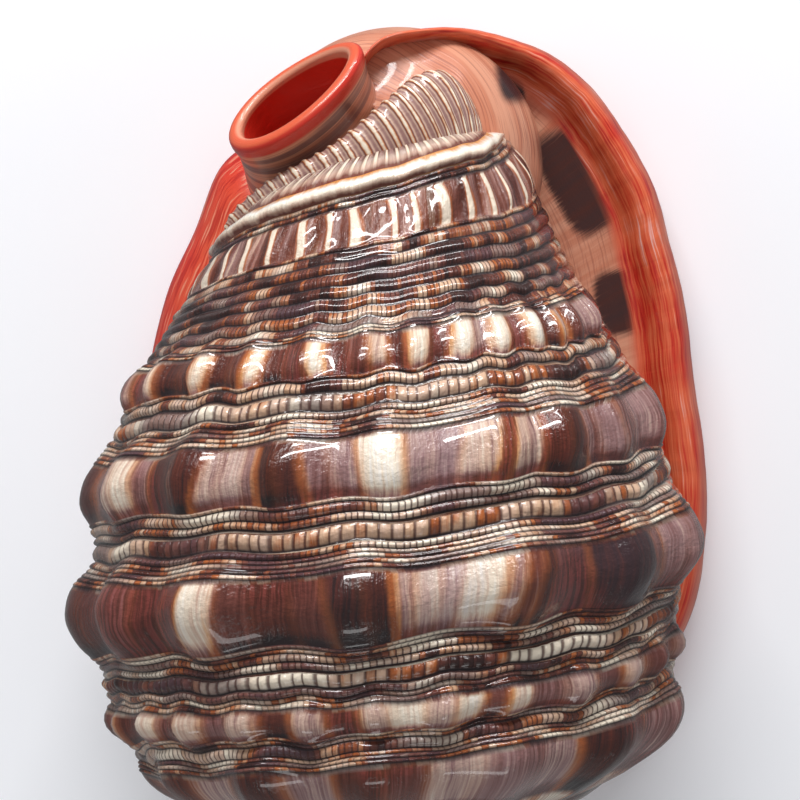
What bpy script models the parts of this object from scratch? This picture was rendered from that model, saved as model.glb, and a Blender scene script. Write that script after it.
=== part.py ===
"""A large red helmet shell, lying on its flat underside.

+Y runs to the siphonal canal, -Y to the spire, +X to the flared outer lip and
+Z to the knobbed back. The shell rests on the plane z = 0.
"""

from math import asin, atan2, cos, exp, floor, log, pi, radians, sin, sqrt

import bmesh
import bpy
from mathutils import Matrix, Vector

MM = 0.001

# Body whorl: stations (surface coordinate, y, radius) from the apex to the neck
PROFILE = (
    (-99.0, -84.0, 0.0),
    (-94.0, -81.8, 5.0),
    (-87.0, -79.0, 11.5),
    (-79.0, -75.8, 19.0),
    (-71.0, -72.2, 28.0),
    (-65.0, -67.8, 37.0),
    (-60.0, -61.5, 45.5),
    (-54.0, -54.0, 51.5),
    (-40.0, -40.0, 54.5),
    (-25.0, -25.0, 55.5),
    (-10.0, -10.0, 54.5),
    (4.0, 4.0, 50.5),
    (12.0, 12.0, 47.5),
    (20.0, 20.0, 43.0),
    (30.0, 30.0, 37.0),
    (41.0, 41.0, 31.5),
    (50.0, 50.0, 28.0),
    (57.0, 57.0, 24.0),
    (63.0, 63.0, 18.5),
    (68.0, 68.0, 11.5),
    (72.0, 72.0, 0.0),
)
HALF_TURN_RISE = 18.4
AXIS_HEIGHT = 43.0
AXIS_DROP = 8.0
UNDERSIDE_DIP = 3.0
FRONT_END = 59.0
BACK_COLUMNS = 48
ALL_COLUMNS = 54

# Spire: one turn of the suture shrinks the radius by this factor
SUTURE_RADIUS = 34.0
WHORL_GROWTH = 2.0
SUTURE_DEPTH = 2.0
SPIRE_KNOB_RISE = 2.2
SPIRE_KNOBS_PER_TURN = 13
LIP_ANGLE = -10.0

# Knob rows: centre, half width, ridge height, knob height, knob half angle, knob angles
KNOB_ROWS = (
    (18.3, 5.2, 0.8, 2.6, 4.0, (25, 37, 45, 53, 63, 72, 84, 95, 108, 122, 135, 150, 165)),
    (-0.5, 8.4, 1.2, 4.0, 6.0, (20, 38, 54, 68, 90, 109, 129, 150, 172)),
    (-24.5, 9.6, 1.6, 6.0, 8.0, (21, 42, 66, 95, 123, 145, 168)),
    (-45.5, 5.0, 0.7, 2.4, 4.2, (15, 27, 38, 52, 67, 79, 92, 105, 118, 131, 143, 157, 170)),
    (-57.5, 6.5, 1.2, 4.8, 7.0, (19, 41, 66, 92, 117, 142, 168)),
)
CORD_AT = 49.5
CORD_HALF_WIDTH = 1.6
CORD_RISE = 1.3

# Flared outer lip: plan stations of its outer edge, each with the height of the rim
LIP_EDGE = (
    (-7.0, 72.0, 46.0),
    (-0.5, 79.0, 43.0),
    (12.0, 82.0, 35.0),
    (22.4, 81.5, 28.0),
    (33.0, 78.2, 23.5),
    (42.0, 71.2, 20.5),
    (49.0, 61.8, 19.0),
    (55.0, 50.7, 18.0),
    (58.6, 38.0, 17.5),
    (61.5, 26.0, 17.0),
    (63.5, 10.0, 17.0),
    (65.8, -7.0, 17.0),
    (65.8, -22.0, 17.0),
    (62.8, -38.0, 16.0),
    (54.5, -52.0, 14.5),
    (42.0, -60.5, 12.5),
    (27.0, -63.0, 9.0),
)
LIP_INNER_REACH = 38.0
LIP_RIM_CENTRE = 5.0
LIP_RIM_HALF_WIDTH = 6.5
LIP_CHANNEL_SHARE = 0.62
LIP_FOOT = 2.0

# Folds on both edges of the aperture: count, reach along, across and up, and offset
LIP_TEETH = (12, (3.8, 1.5, 2.2), 6.7)
COLUMELLAR_FOLDS = (7, (3.0, 1.2, 1.8), -6.5)
FOLD_LIFT = 0.4
FOLD_RUN = (0.14, 0.88)

# Parietal shield: the flat callus under the body
SHIELD_CENTRE = (-8.0, 3.0)
SHIELD_REACH = (43.0, 66.0)
SHIELD_EDGE_HEIGHT = 3.0
SHIELD_THICKNESS = 12.0

# Siphonal canal: sections from the aperture to the mouth, each with its centre, the
# bearing of its long axis and its lean in degrees, and the half lengths of wall and bore
CANAL_SECTIONS = (
    (2.0, 44.0, 8.0, 28.0, 10.0, 12.0, 6.0),
    (-6.0, 50.5, 14.0, 28.0, 14.0, 16.5, 7.5),
    (-12.0, 54.5, 25.0, 30.0, 24.0, 16.5, 9.5),
    (-15.0, 60.0, 37.0, 34.0, 40.0, 15.4, 11.0),
    (-17.6, 65.8, 47.0, 38.0, 57.0, 15.2, 12.6),
)
WALL_COLUMN = 5
BORE_COLUMN = 6
WALL_FLATTENING = 0.76
BORE_FLATTENING = 0.7
BORE_OVERRUN = 4.0

# Fasciole: the ribbed roll that curls round the neck, as a centre line with its radii
FASCIOLE = (
    (-31.5, 40.5, 42.0, 1.6),
    (-20.5, 46.3, 49.0, 3.4),
    (-8.2, 51.3, 53.0, 4.6),
    (3.8, 57.0, 52.5, 6.6),
    (11.8, 61.0, 48.0, 6.8),
    (16.6, 60.6, 41.0, 3.6),
)
FASCIOLE_LONG_AXIS = (-0.5, 0.86, 0.2)
FASCIOLE_FLATTENING = 0.8
FASCIOLE_RIBS = 26
FASCIOLE_RIB_RISE = 0.7

# Neck: the full part of the shell under the fasciole and between canal and lip
NECK_CENTRE = (2.0, 54.0, 22.0)
NECK_REACH = (29.0, 28.0, 25.0)

# Aperture: plan stations of the slot, its half width and depth
APERTURE_LINE = ((2.0, 55.0), (13.0, 44.0), (21.0, 26.0), (25.0, 4.0), (24.5, -18.0), (20.0, -38.0), (12.0, -52.0))
APERTURE_HALF_WIDTH = 5.5
APERTURE_DEPTH = 24.0
APERTURE_LIFT = 1.3

# Moves the middle of the whole shell's box over the origin
FRAME_SHIFT = (-2.3, 0.94, 0.0)

SHELL_COLOUR = (0.42, 0.17, 0.11, 1.0)
SHELL_ROUGHNESS = 0.18


def clear_scene():
    for item in list(bpy.data.objects):
        bpy.data.objects.remove(item, do_unlink=True)


def clamp(value, low=0.0, high=1.0):
    return max(low, min(high, value))


def smooth(low, high, value):
    t = clamp((value - low) / (high - low))
    return t * t * (3.0 - 2.0 * t)


def hump(offset, half_width):
    """A rounded hump: 1 in the middle, 0 beyond the half width."""
    t = clamp(abs(offset) / half_width)
    return (1.0 - t * t) ** 2


def follow(stations, at, key=0):
    """A smooth curve through the stations, read at a value of their key column."""
    count = len(stations)
    keys = [row[key] for row in stations]
    at = clamp(at, keys[0], keys[-1])
    index = max(i for i in range(count - 1) if keys[i] <= at)
    return between(stations, index, (at - keys[index]) / (keys[index + 1] - keys[index]), keys)


def along(stations, fraction):
    """A smooth curve through evenly counted stations, read at a fraction of its run."""
    place = clamp(fraction) * (len(stations) - 1)
    index = min(int(floor(place)), len(stations) - 2)
    return between(stations, index, place - index, list(range(len(stations))))


def between(stations, index, t, keys):
    last = len(stations) - 1
    span = keys[index + 1] - keys[index]
    result = []
    for column in range(len(stations[0])):
        values = [row[column] for row in stations]

        def slope(i):
            low = max(i - 1, 0)
            high = min(i + 1, last)
            return (values[high] - values[low]) / (keys[high] - keys[low])

        t2 = t * t
        t3 = t2 * t
        result.append(
            values[index] * (2 * t3 - 3 * t2 + 1)
            + slope(index) * span * (t3 - 2 * t2 + t)
            + values[index + 1] * (3 * t2 - 2 * t3)
            + slope(index + 1) * span * (t3 - t2)
        )
    return result


def helical_shift(theta):
    """How far the rows climb towards the canal at this angle, in degrees."""
    theta = (theta + 90.0) % 360.0 - 90.0
    per_degree = HALF_TURN_RISE / 180.0
    if -20.0 <= theta <= 200.0:
        return per_degree * (90.0 - theta)
    back = (theta - 200.0) / 140.0 if theta > 200.0 else (theta + 160.0) / 140.0
    return per_degree * 110.0 * (2.0 * smooth(0.0, 1.0, back) - 1.0)


def axis_height(y):
    return AXIS_HEIGHT - AXIS_DROP * smooth(-10.0, 60.0, y)


def back_share(theta):
    """1 on the back and the flanks, 0 on the flat underside."""
    return smooth(-30.0, -12.0, (theta + 90.0) % 360.0 - 90.0) * (
        1.0 - smooth(192.0, 210.0, (theta + 90.0) % 360.0 - 90.0)
    )


def relief(theta, v, radius):
    height = CORD_RISE * hump(v - CORD_AT, CORD_HALF_WIDTH)
    for centre, half_width, ridge, knob, knob_angle, angles in KNOB_ROWS:
        across = hump(v - centre, half_width)
        if across > 0.0:
            crest = max(exp(-(((theta - angle) / knob_angle) ** 2)) for angle in angles)
            height += across * (ridge + knob * crest)
    if v < -62.0 and radius > 0.5:
        turns = log(radius / SUTURE_RADIUS) / log(WHORL_GROWTH) + (theta - LIP_ANGLE) / 360.0
        phase = turns - floor(turns)
        ring = SPIRE_KNOBS_PER_TURN * radians(theta) + 2.0 * floor(turns)
        knobs = SPIRE_KNOB_RISE * hump(phase - 0.62, 0.3) * (0.5 + 0.5 * cos(ring))
        groove = SUTURE_DEPTH * hump(min(phase, 1.0 - phase), 0.16)
        height += (knobs - groove) * clamp(radius / 26.0) * smooth(-60.0, -68.0, v)
    return height


def body_point(theta, v):
    """A point of the body whorl at an angle in degrees and a surface coordinate."""
    reach = smooth(-80.0, -50.0, v) * (1.0 + 0.4 * smooth(25.0, CORD_AT, v)) * (1.0 - smooth(48.0, 72.0, v))
    _, y, radius = follow(PROFILE, v + reach * helical_shift(theta))
    y = min(y, FRONT_END + 0.1 * (y - FRONT_END))
    radius = max(radius, 0.0) * (1.0 - smooth(51.5, 66.0, v))
    grown = radius + back_share(theta) * relief(theta, v, radius) * clamp(radius / 6.0)
    c = cos(radians(theta))
    s = sin(radians(theta))
    centre = axis_height(y)
    if s >= 0.0:
        return Vector((grown * c, y, centre + grown * s))
    wide = (abs(c) ** 0.8) * (1.0 if c > 0.0 else -1.0)
    depth = min(centre + UNDERSIDE_DIP, grown * 0.95)
    return Vector((grown * wide, y, centre - depth * abs(s) ** 0.85))


def grown_ball(name, around, rings, place):
    """A sphere whose vertices are moved to place(angle fraction, ring fraction)."""
    bm = bmesh.new()
    bmesh.ops.create_uvsphere(bm, u_segments=around, v_segments=rings, radius=1.0)
    for vert in bm.verts:
        x, y, z = vert.co
        ring = 0.5 + asin(clamp(z, -1.0, 1.0)) / pi
        turn = (atan2(y, x) / (2.0 * pi)) % 1.0
        vert.co = place(turn, ring) * MM
    if bm.calc_volume(signed=True) < 0.0:
        bmesh.ops.reverse_faces(bm, faces=bm.faces)
    return finish_mesh(name, bm)


def finish_mesh(name, bm):
    """A new object from the working mesh, in triangles so that every face is flat."""
    bmesh.ops.triangulate(bm, faces=bm.faces)
    mesh = bpy.data.meshes.new(name)
    bm.to_mesh(mesh)
    bm.free()
    item = bpy.data.objects.new(name, mesh)
    return item


def rounded_end(ring, softness=0.12):
    """Section scale that closes a sweep with rounded ends."""
    edge = clamp(min(ring, 1.0 - ring) / softness)
    return sqrt(1.0 - (1.0 - edge) ** 2)


def body_whorl():
    def place(turn, ring):
        column = turn * ALL_COLUMNS
        if column <= BACK_COLUMNS:
            theta = -20.0 + 220.0 * column / BACK_COLUMNS
        else:
            theta = 200.0 + 140.0 * (column - BACK_COLUMNS) / (ALL_COLUMNS - BACK_COLUMNS)
        return body_point(theta, ring_coordinate(ring))

    return grown_ball("body", ALL_COLUMNS, len(ring_stations()) - 1, place)


def ring_stations():
    """Surface coordinates of the rings: crest, flanks and foot of each row."""
    stations = [PROFILE[0][0], -95.0, -90.0, -85.0, -80.0, -75.0, -70.0, -66.5]
    for centre, half_width, *_ in reversed(KNOB_ROWS):
        steps = (-1.0, -0.5, 0.0, 0.5, 1.0) if half_width < 7.0 else (-1.0, -0.6, -0.3, 0.0, 0.3, 0.6, 1.0)
        stations += [centre + half_width * step for step in steps]
    stations += [30.0, 38.0, CORD_AT - CORD_HALF_WIDTH, CORD_AT, CORD_AT + CORD_HALF_WIDTH]
    stations += [56.0, 62.0, 67.0, PROFILE[-1][0]]
    return stations


def ring_coordinate(ring):
    stations = ring_stations()
    place = ring * (len(stations) - 1)
    index = min(int(round(place)), len(stations) - 1)
    return stations[index]


def plan_frame(line, fraction):
    """A station of a plan line and the level direction to its left."""
    station = along(line, fraction)
    ahead = along(line, clamp(fraction + 0.01))
    behind = along(line, clamp(fraction - 0.01))
    run = Vector((ahead[0] - behind[0], ahead[1] - behind[1], 0.0)).normalized()
    return station, Vector((-run.y, run.x, 0.0))


def outer_lip():
    """The flange and rolled rim, swept along the lip's outer edge."""

    def place(turn, ring):
        (x, y, rim_height), outward = plan_frame(LIP_EDGE, ring)
        size = rounded_end(ring)
        reach = LIP_INNER_REACH * (0.45 + 0.55 * smooth(0.0, 0.3, ring))
        angle = 2.0 * pi * turn
        if sin(angle) >= 0.0:
            inward = 0.5 * reach * (1.0 - cos(angle))
            rim = rim_height * hump(inward - LIP_RIM_CENTRE, LIP_RIM_HALF_WIDTH)
            top = max(LIP_CHANNEL_SHARE * rim_height, rim) * sqrt(clamp(sin(angle) * 1.6))
            height = LIP_FOOT + size * (top - LIP_FOOT)
        else:
            height = LIP_FOOT - 2.5 * LIP_FOOT * size * sqrt(-sin(angle))
        return Vector((x, y, height)) - outward * (0.5 * reach * (1.0 - size * cos(angle)))

    return grown_ball("outer_lip", 16, 30, place)


def parietal_shield():
    def place(turn, ring):
        angle = 2.0 * pi * turn
        lift = sin(pi * (ring - 0.5))
        flat = sqrt(1.0 - lift * lift)
        x = SHIELD_CENTRE[0] + SHIELD_REACH[0] * flat * cos(angle)
        y = SHIELD_CENTRE[1] + SHIELD_REACH[1] * flat * sin(angle)
        return Vector((x, y, SHIELD_EDGE_HEIGHT + (SHIELD_THICKNESS - SHIELD_EDGE_HEIGHT) * lift))

    return grown_ball("parietal_shield", 32, 8, place)


def tube_frame(line, fraction, long_axis):
    """Centre and radius of a tube and two cross directions, the first nearest the long axis."""
    station = along(line, fraction)
    ahead = Vector(along(line, clamp(fraction + 0.01))[:3])
    run = (ahead - Vector(along(line, clamp(fraction - 0.01))[:3])).normalized()
    side = Vector(long_axis) - run * run.dot(Vector(long_axis))
    side.normalize()
    return Vector(station[:3]), station[3], side, side.cross(run).normalized()


def canal_tube(name, column, flattening, around, rings, overrun=0.0):
    """A flattened tube through the canal's leaning sections, its mouth end pushed out by the overrun."""

    def place(turn, ring):
        section = along(CANAL_SECTIONS, ring)
        bearing = radians(section[3])
        lean = radians(section[4])
        long_axis = Vector((cos(bearing), sin(bearing), 0.0))
        short_axis = Vector((sin(bearing) * cos(lean), -cos(bearing) * cos(lean), sin(lean)))
        facing = Vector((-sin(bearing) * sin(lean), cos(bearing) * sin(lean), cos(lean)))
        radius = section[column] * rounded_end(ring, 0.06)
        angle = 2.0 * pi * turn
        centre = Vector(section[:3]) + facing * (overrun * smooth(0.8, 1.0, ring))
        return centre + long_axis * (radius * cos(angle)) + short_axis * (flattening * radius * sin(angle))

    return grown_ball(name, around, rings, place)


def fasciole():
    def place(turn, ring):
        centre, radius, side, up = tube_frame(FASCIOLE, ring, FASCIOLE_LONG_AXIS)
        radius += FASCIOLE_RIB_RISE * cos(2.0 * pi * FASCIOLE_RIBS * ring)
        radius *= rounded_end(ring, 0.08)
        angle = 2.0 * pi * turn
        return centre + side * (radius * cos(angle)) + up * (FASCIOLE_FLATTENING * radius * sin(angle))

    return grown_ball("fasciole", 10, 2 * FASCIOLE_RIBS, place)


def neck():
    bm = bmesh.new()
    bmesh.ops.create_uvsphere(bm, u_segments=22, v_segments=14, radius=1.0)
    for vert in bm.verts:
        vert.co = Vector([NECK_CENTRE[i] + NECK_REACH[i] * vert.co[i] for i in range(3)]) * MM
    return finish_mesh("neck", bm)


def aperture():
    def place(turn, ring):
        (x, y), side = plan_frame(APERTURE_LINE, ring)
        size = rounded_end(ring, 0.2)
        angle = 2.0 * pi * turn
        offset = APERTURE_HALF_WIDTH * size * cos(angle)
        return Vector((x, y, APERTURE_LIFT + APERTURE_DEPTH * size * sin(angle))) - side * offset

    return grown_ball("aperture", 10, 16, place)


def aperture_folds(count, reach, offset):
    """Short folds across one edge of the aperture, as small solids."""
    first, last = FOLD_RUN
    folds = []
    for number in range(count):
        (x, y), side = plan_frame(APERTURE_LINE, first + (last - first) * number / (count - 1))
        centre = Vector((x, y, reach[2] + FOLD_LIFT)) + side * offset
        bm = bmesh.new()
        bmesh.ops.create_uvsphere(bm, u_segments=8, v_segments=4, radius=1.0)
        for vert in bm.verts:
            vert.co = (centre + Vector([reach[i] * vert.co[i] for i in range(3)])) * MM
        folds.append(finish_mesh(f"fold_{count}_{number + 1}", bm))
    return folds


def ground():
    """Everything below the resting plane."""
    bm = bmesh.new()
    bmesh.ops.create_cube(bm, size=1.0)
    size = Matrix.Diagonal((0.4, 0.4, 0.06, 1.0))
    bmesh.ops.transform(bm, matrix=Matrix.Translation((0.0, 0.0, -0.03)) @ size, verts=bm.verts)
    return finish_mesh("ground", bm)


def shell_material():
    material = bpy.data.materials.new("shell")
    material.use_nodes = True
    principled = material.node_tree.nodes["Principled BSDF"]
    principled.inputs["Base Color"].default_value = SHELL_COLOUR
    principled.inputs["Roughness"].default_value = SHELL_ROUGHNESS
    principled.inputs["Metallic"].default_value = 0.0
    return material


def join_by(base, other, operation):
    modifier = base.modifiers.new(f"{operation.lower()}_{other.name}", "BOOLEAN")
    modifier.operation = operation
    modifier.solver = "EXACT"
    modifier.object = other


def main():
    clear_scene()
    shell_parts = bpy.data.collections.new("conch_shell")
    cutters = bpy.data.collections.new("construction")
    bpy.context.scene.collection.children.link(shell_parts)
    bpy.context.scene.collection.children.link(cutters)

    shell = body_whorl()
    shell.name = "shell"
    shell.data.materials.append(shell_material())
    shell_parts.objects.link(shell)

    canal = canal_tube("canal", WALL_COLUMN, WALL_FLATTENING, 22, 12)
    bore = canal_tube("canal_bore", BORE_COLUMN, BORE_FLATTENING, 16, 12, BORE_OVERRUN)
    added = [neck(), parietal_shield(), outer_lip(), canal, fasciole()]
    removed = [aperture(), bore]
    folds = aperture_folds(*LIP_TEETH) + aperture_folds(*COLUMELLAR_FOLDS)
    below = ground()
    for piece in added:
        join_by(shell, piece, "UNION")
    for piece in removed + [below]:
        join_by(shell, piece, "DIFFERENCE")
    for piece in folds:
        join_by(shell, piece, "UNION")
    for piece in [shell] + added + removed + folds + [below]:
        piece.location = Vector(FRAME_SHIFT) * MM
    for piece in added + removed + folds + [below]:
        piece.hide_render = True
        piece.display_type = "WIRE"
        cutters.objects.link(piece)


main()
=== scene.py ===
"""Looks of a large red helmet shell that lies on its flat underside.

The shell grew as one piece. Its regions are modelled here as overlapping
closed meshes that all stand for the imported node: the knobbed body whorl with
the spire, the ribbed fasciole, the neck, the recurved canal, the flared outer
lip, the parietal shield and the folds of the aperture. Lengths are in
millimetres until a mesh is made.
"""

from __future__ import annotations

import logging
import math
from dataclasses import dataclass, field
from enum import Enum
from typing import Callable, Sequence

import bpy
import numpy as np
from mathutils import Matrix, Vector


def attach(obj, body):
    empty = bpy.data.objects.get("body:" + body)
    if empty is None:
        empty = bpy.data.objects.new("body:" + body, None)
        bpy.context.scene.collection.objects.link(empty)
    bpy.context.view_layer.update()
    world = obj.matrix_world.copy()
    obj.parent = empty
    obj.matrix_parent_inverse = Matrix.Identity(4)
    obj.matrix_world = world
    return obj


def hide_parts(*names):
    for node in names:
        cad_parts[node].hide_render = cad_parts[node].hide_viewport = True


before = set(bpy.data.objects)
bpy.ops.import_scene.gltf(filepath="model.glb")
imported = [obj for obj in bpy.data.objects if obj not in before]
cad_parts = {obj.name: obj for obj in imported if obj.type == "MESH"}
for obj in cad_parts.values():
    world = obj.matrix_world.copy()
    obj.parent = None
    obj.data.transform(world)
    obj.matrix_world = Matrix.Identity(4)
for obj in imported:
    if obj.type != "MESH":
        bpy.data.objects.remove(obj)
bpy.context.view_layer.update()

logging.basicConfig(level=logging.INFO, format="%(message)s")
LOG = logging.getLogger("shell")

MM = 0.001
NODE = "shell"
BODY = "root"
SEED = 11

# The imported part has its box's middle over the origin
FRAME_SHIFT = np.array((-2.3, 0.94, 0.0))

Colour = tuple[float, float, float, float]


def srgb(red: int, green: int, blue: int) -> Colour:
    """A linear colour from display values of 0 to 255.

    Args:
        red: red share.
        green: green share.
        blue: blue share.

    Returns:
        The colour with full opacity.
    """

    def channel(value: int) -> float:
        """The linear value of one channel."""
        share = value / 255.0
        return share / 12.92 if share <= 0.04045 else ((share + 0.055) / 1.055) ** 2.4

    return (channel(red), channel(green), channel(blue), 1.0)


def smooth(low: float, high: float, value: np.ndarray | float) -> np.ndarray:
    """A soft step from 0 to 1 between two values.

    Args:
        low: value at which the step starts.
        high: value at which it ends.
        value: what is compared with them.

    Returns:
        The height of the step at each value.
    """
    t = np.clip((value - low) / (high - low), 0.0, 1.0)
    return t * t * (3.0 - 2.0 * t)


def hump(offset: np.ndarray | float, half_width: np.ndarray | float) -> np.ndarray:
    """A rounded hump: 1 in the middle, 0 beyond the half width.

    Args:
        offset: distance from the middle.
        half_width: distance at which the hump ends.

    Returns:
        The height of the hump.
    """
    t = np.clip(np.abs(offset) / half_width, 0.0, 1.0)
    return (1.0 - t * t) ** 2


def bell(offset: np.ndarray | float, spread: float) -> np.ndarray:
    """A bell curve of height 1."""
    return np.exp(-((offset / spread) ** 2))


def wander(at: np.ndarray, seed: int, length: float) -> np.ndarray:
    """A smooth wavering between about -1 and 1, repeated for any seed.

    Args:
        at: places along the run.
        seed: seed of the wavering.
        length: length of its longest wave.

    Returns:
        The wavering at each place.
    """
    rng = np.random.default_rng(seed)
    total = np.zeros_like(at, dtype=float)
    for octave in range(4):
        phase = rng.uniform(0.0, 2.0 * math.pi)
        rate = (1.0 + 0.3 * rng.uniform()) * (1.73**octave) / length
        total += np.sin(2.0 * math.pi * rate * at + phase) / (1.4**octave)
    return total / 2.2


class Stations:
    """A smooth curve through a few stations, read at values of its key."""

    def __init__(self, rows: Sequence[Sequence[float]], by_count: bool = False) -> None:
        """Keeps the stations.

        Args:
            rows: the stations, each a row of numbers.
            by_count: read by a fraction of the run rather than by the first column.
        """
        self.rows = np.array(rows, dtype=float)
        count = len(self.rows)
        self.keys = np.linspace(0.0, 1.0, count) if by_count else self.rows[:, 0]
        low = np.maximum(np.arange(count) - 1, 0)
        high = np.minimum(np.arange(count) + 1, count - 1)
        self.slopes = (self.rows[high] - self.rows[low]) / (self.keys[high] - self.keys[low])[:, None]

    def at(self, value: np.ndarray | float) -> np.ndarray:
        """The stations' columns at the given key values, along a last axis.

        Args:
            value: key values; those beyond the ends are held at the ends.

        Returns:
            The columns, smooth through every station.
        """
        value = np.clip(np.asarray(value, dtype=float), self.keys[0], self.keys[-1])
        index = np.clip(np.searchsorted(self.keys, value, side="right") - 1, 0, len(self.keys) - 2)
        span = (self.keys[index + 1] - self.keys[index])[..., None]
        t = (value - self.keys[index])[..., None] / span
        t2 = t * t
        t3 = t2 * t
        return (
            self.rows[index] * (2 * t3 - 3 * t2 + 1)
            + self.slopes[index] * span * (t3 - 2 * t2 + t)
            + self.rows[index + 1] * (3 * t2 - 2 * t3)
            + self.slopes[index + 1] * span * (t3 - t2)
        )

    def heading(self, value: np.ndarray) -> np.ndarray:
        """Unit directions of the curve at the given key values.

        Args:
            value: key values.

        Returns:
            One unit direction for each value.
        """
        step = (self.keys[-1] - self.keys[0]) * 0.01
        run = self.at(value + step) - self.at(value - step)
        return run / np.linalg.norm(run, axis=-1, keepdims=True)


@dataclass
class Skin:
    """A closed skin between two poles, as a grid of rings and columns."""

    name: str
    points: np.ndarray
    first_pole: np.ndarray
    last_pole: np.ndarray
    fields: dict[str, np.ndarray] = field(default_factory=dict)

    def build(self) -> bpy.types.Object:
        """Makes the mesh object, in metres, with its fields as point attributes.

        Returns:
            The new object, linked to the scene and shaded smooth.
        """
        rings, columns, _ = self.points.shape
        grid = self.points.reshape(-1, 3)
        verts = (np.vstack([grid, self.first_pole, self.last_pole]) + FRAME_SHIFT) * MM
        first = rings * columns
        ring, column = np.meshgrid(np.arange(rings - 1), np.arange(columns), indexing="ij")
        after = (column + 1) % columns
        quads = np.stack(
            [
                ring * columns + column,
                ring * columns + after,
                (ring + 1) * columns + after,
                (ring + 1) * columns + column,
            ],
            axis=-1,
        ).reshape(-1, 4)
        around = np.arange(columns)
        following = (around + 1) % columns
        start = np.stack([np.full(columns, first), following, around], axis=-1)
        top = (rings - 1) * columns
        end = np.stack([np.full(columns, first + 1), top + around, top + following], axis=-1)
        if not np.isfinite(verts).all():
            raise ValueError(f"{self.name} has points without a place")
        mesh = bpy.data.meshes.new(self.name)
        mesh.from_pydata(verts.tolist(), [], quads.tolist() + start.tolist() + end.tolist())
        if self._volume(verts, quads) < 0.0:
            mesh.flip_normals()
        mesh.shade_smooth()
        for label, values in self.fields.items():
            flat = np.broadcast_to(values, (rings, columns)).reshape(-1)
            edge = [np.mean(flat[:columns]), np.mean(flat[-columns:])]
            attribute = mesh.attributes.new(label, "FLOAT", "POINT")
            attribute.data.foreach_set("value", np.append(flat, edge).astype(np.float32))
        item = bpy.data.objects.new(self.name, mesh)
        bpy.context.scene.collection.objects.link(item)
        LOG.info("%s: %d faces", self.name, len(mesh.polygons))
        return item

    @staticmethod
    def _volume(verts: np.ndarray, quads: np.ndarray) -> float:
        """Six times the signed volume of the quads, negative where they point inwards."""
        a, b, c, d = (verts[quads[:, i]] for i in range(4))
        first = np.einsum("ij,ij->i", a, np.cross(b, c)).sum()
        second = np.einsum("ij,ij->i", a, np.cross(c, d)).sum()
        return float(first + second)


# Body whorl: surface coordinate, place along the axis and radius
PROFILE = Stations(
    (
        (-99.0, -84.0, 0.0),
        (-94.0, -81.8, 5.0),
        (-87.0, -79.0, 11.5),
        (-79.0, -75.8, 19.0),
        (-71.0, -72.2, 28.0),
        (-65.0, -67.8, 37.0),
        (-60.0, -61.5, 45.5),
        (-54.0, -54.0, 51.5),
        (-40.0, -40.0, 54.5),
        (-25.0, -25.0, 55.5),
        (-10.0, -10.0, 54.5),
        (4.0, 4.0, 50.5),
        (12.0, 12.0, 47.5),
        (20.0, 20.0, 43.0),
        (30.0, 30.0, 37.0),
        (41.0, 41.0, 31.5),
        (50.0, 50.0, 28.0),
        (57.0, 57.0, 24.0),
        (63.0, 63.0, 18.5),
        (68.0, 68.0, 11.5),
        (72.0, 72.0, 0.0),
    )
)
APEX = -99.0
NECK_END = 72.0
FRONT_END = 59.0
HALF_TURN_RISE = 18.4
AXIS_HEIGHT = 43.0
AXIS_DROP = 8.0
UNDERSIDE_DIP = 3.0
APERTURE_ROOF = 23.0
APERTURE_REACH = 11.0
MOUTH_TOP = 34.0
BEAD_ANGLE = 2.2
COLUMNS_PER_BEAD = 4

SUTURE_RADIUS = 34.0
WHORL_GROWTH = 2.0
SUTURE_DEPTH = 1.8
SPIRE_KNOB_RISE = 2.0
SPIRE_KNOBS_PER_TURN = 13
LIP_ANGLE = -10.0


def axis_height(y: np.ndarray | float) -> np.ndarray:
    """Height of the coiling axis above the floor."""
    return AXIS_HEIGHT - AXIS_DROP * smooth(-10.0, 60.0, y)


class CellKind(Enum):
    """What runs along one spiral strip of the whorl."""

    BAND = "band"
    THIN = "thin"
    BEADS = "beads"
    LARGE = "large"
    RIBS = "ribs"
    RIDGE = "ridge"


RIB_ANGLE = 9.9
FRONT_RIB_STEP = 4.1
CELL_RISE = {
    CellKind.BAND: 0.0,
    CellKind.THIN: 0.3,
    CellKind.BEADS: 0.75,
    CellKind.LARGE: 1.15,
    CellKind.RIBS: 0.5,
    CellKind.RIDGE: 1.7,
}
CELL_RINGS = {
    CellKind.THIN: 3,
    CellKind.BEADS: 4,
    CellKind.LARGE: 5,
    CellKind.RIBS: 11,
    CellKind.RIDGE: 6,
}
BAND_RING_STEP = 0.95
SPIRE_STRIPS = 14
SPIRE_FOOT = -62.7
FRONT_REACH = 66.0
FRONT_RINGS = 16
FRONT_STRIP_STEP = 0.2
BACK_START = -20.0
BACK_END = 200.0
UNDERSIDE_END = 340.0
UNDERSIDE_COLUMNS = 90
BEAD_SHARE = {CellKind.THIN: 0.55, CellKind.BEADS: 1.0, CellKind.LARGE: 1.0}


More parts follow.
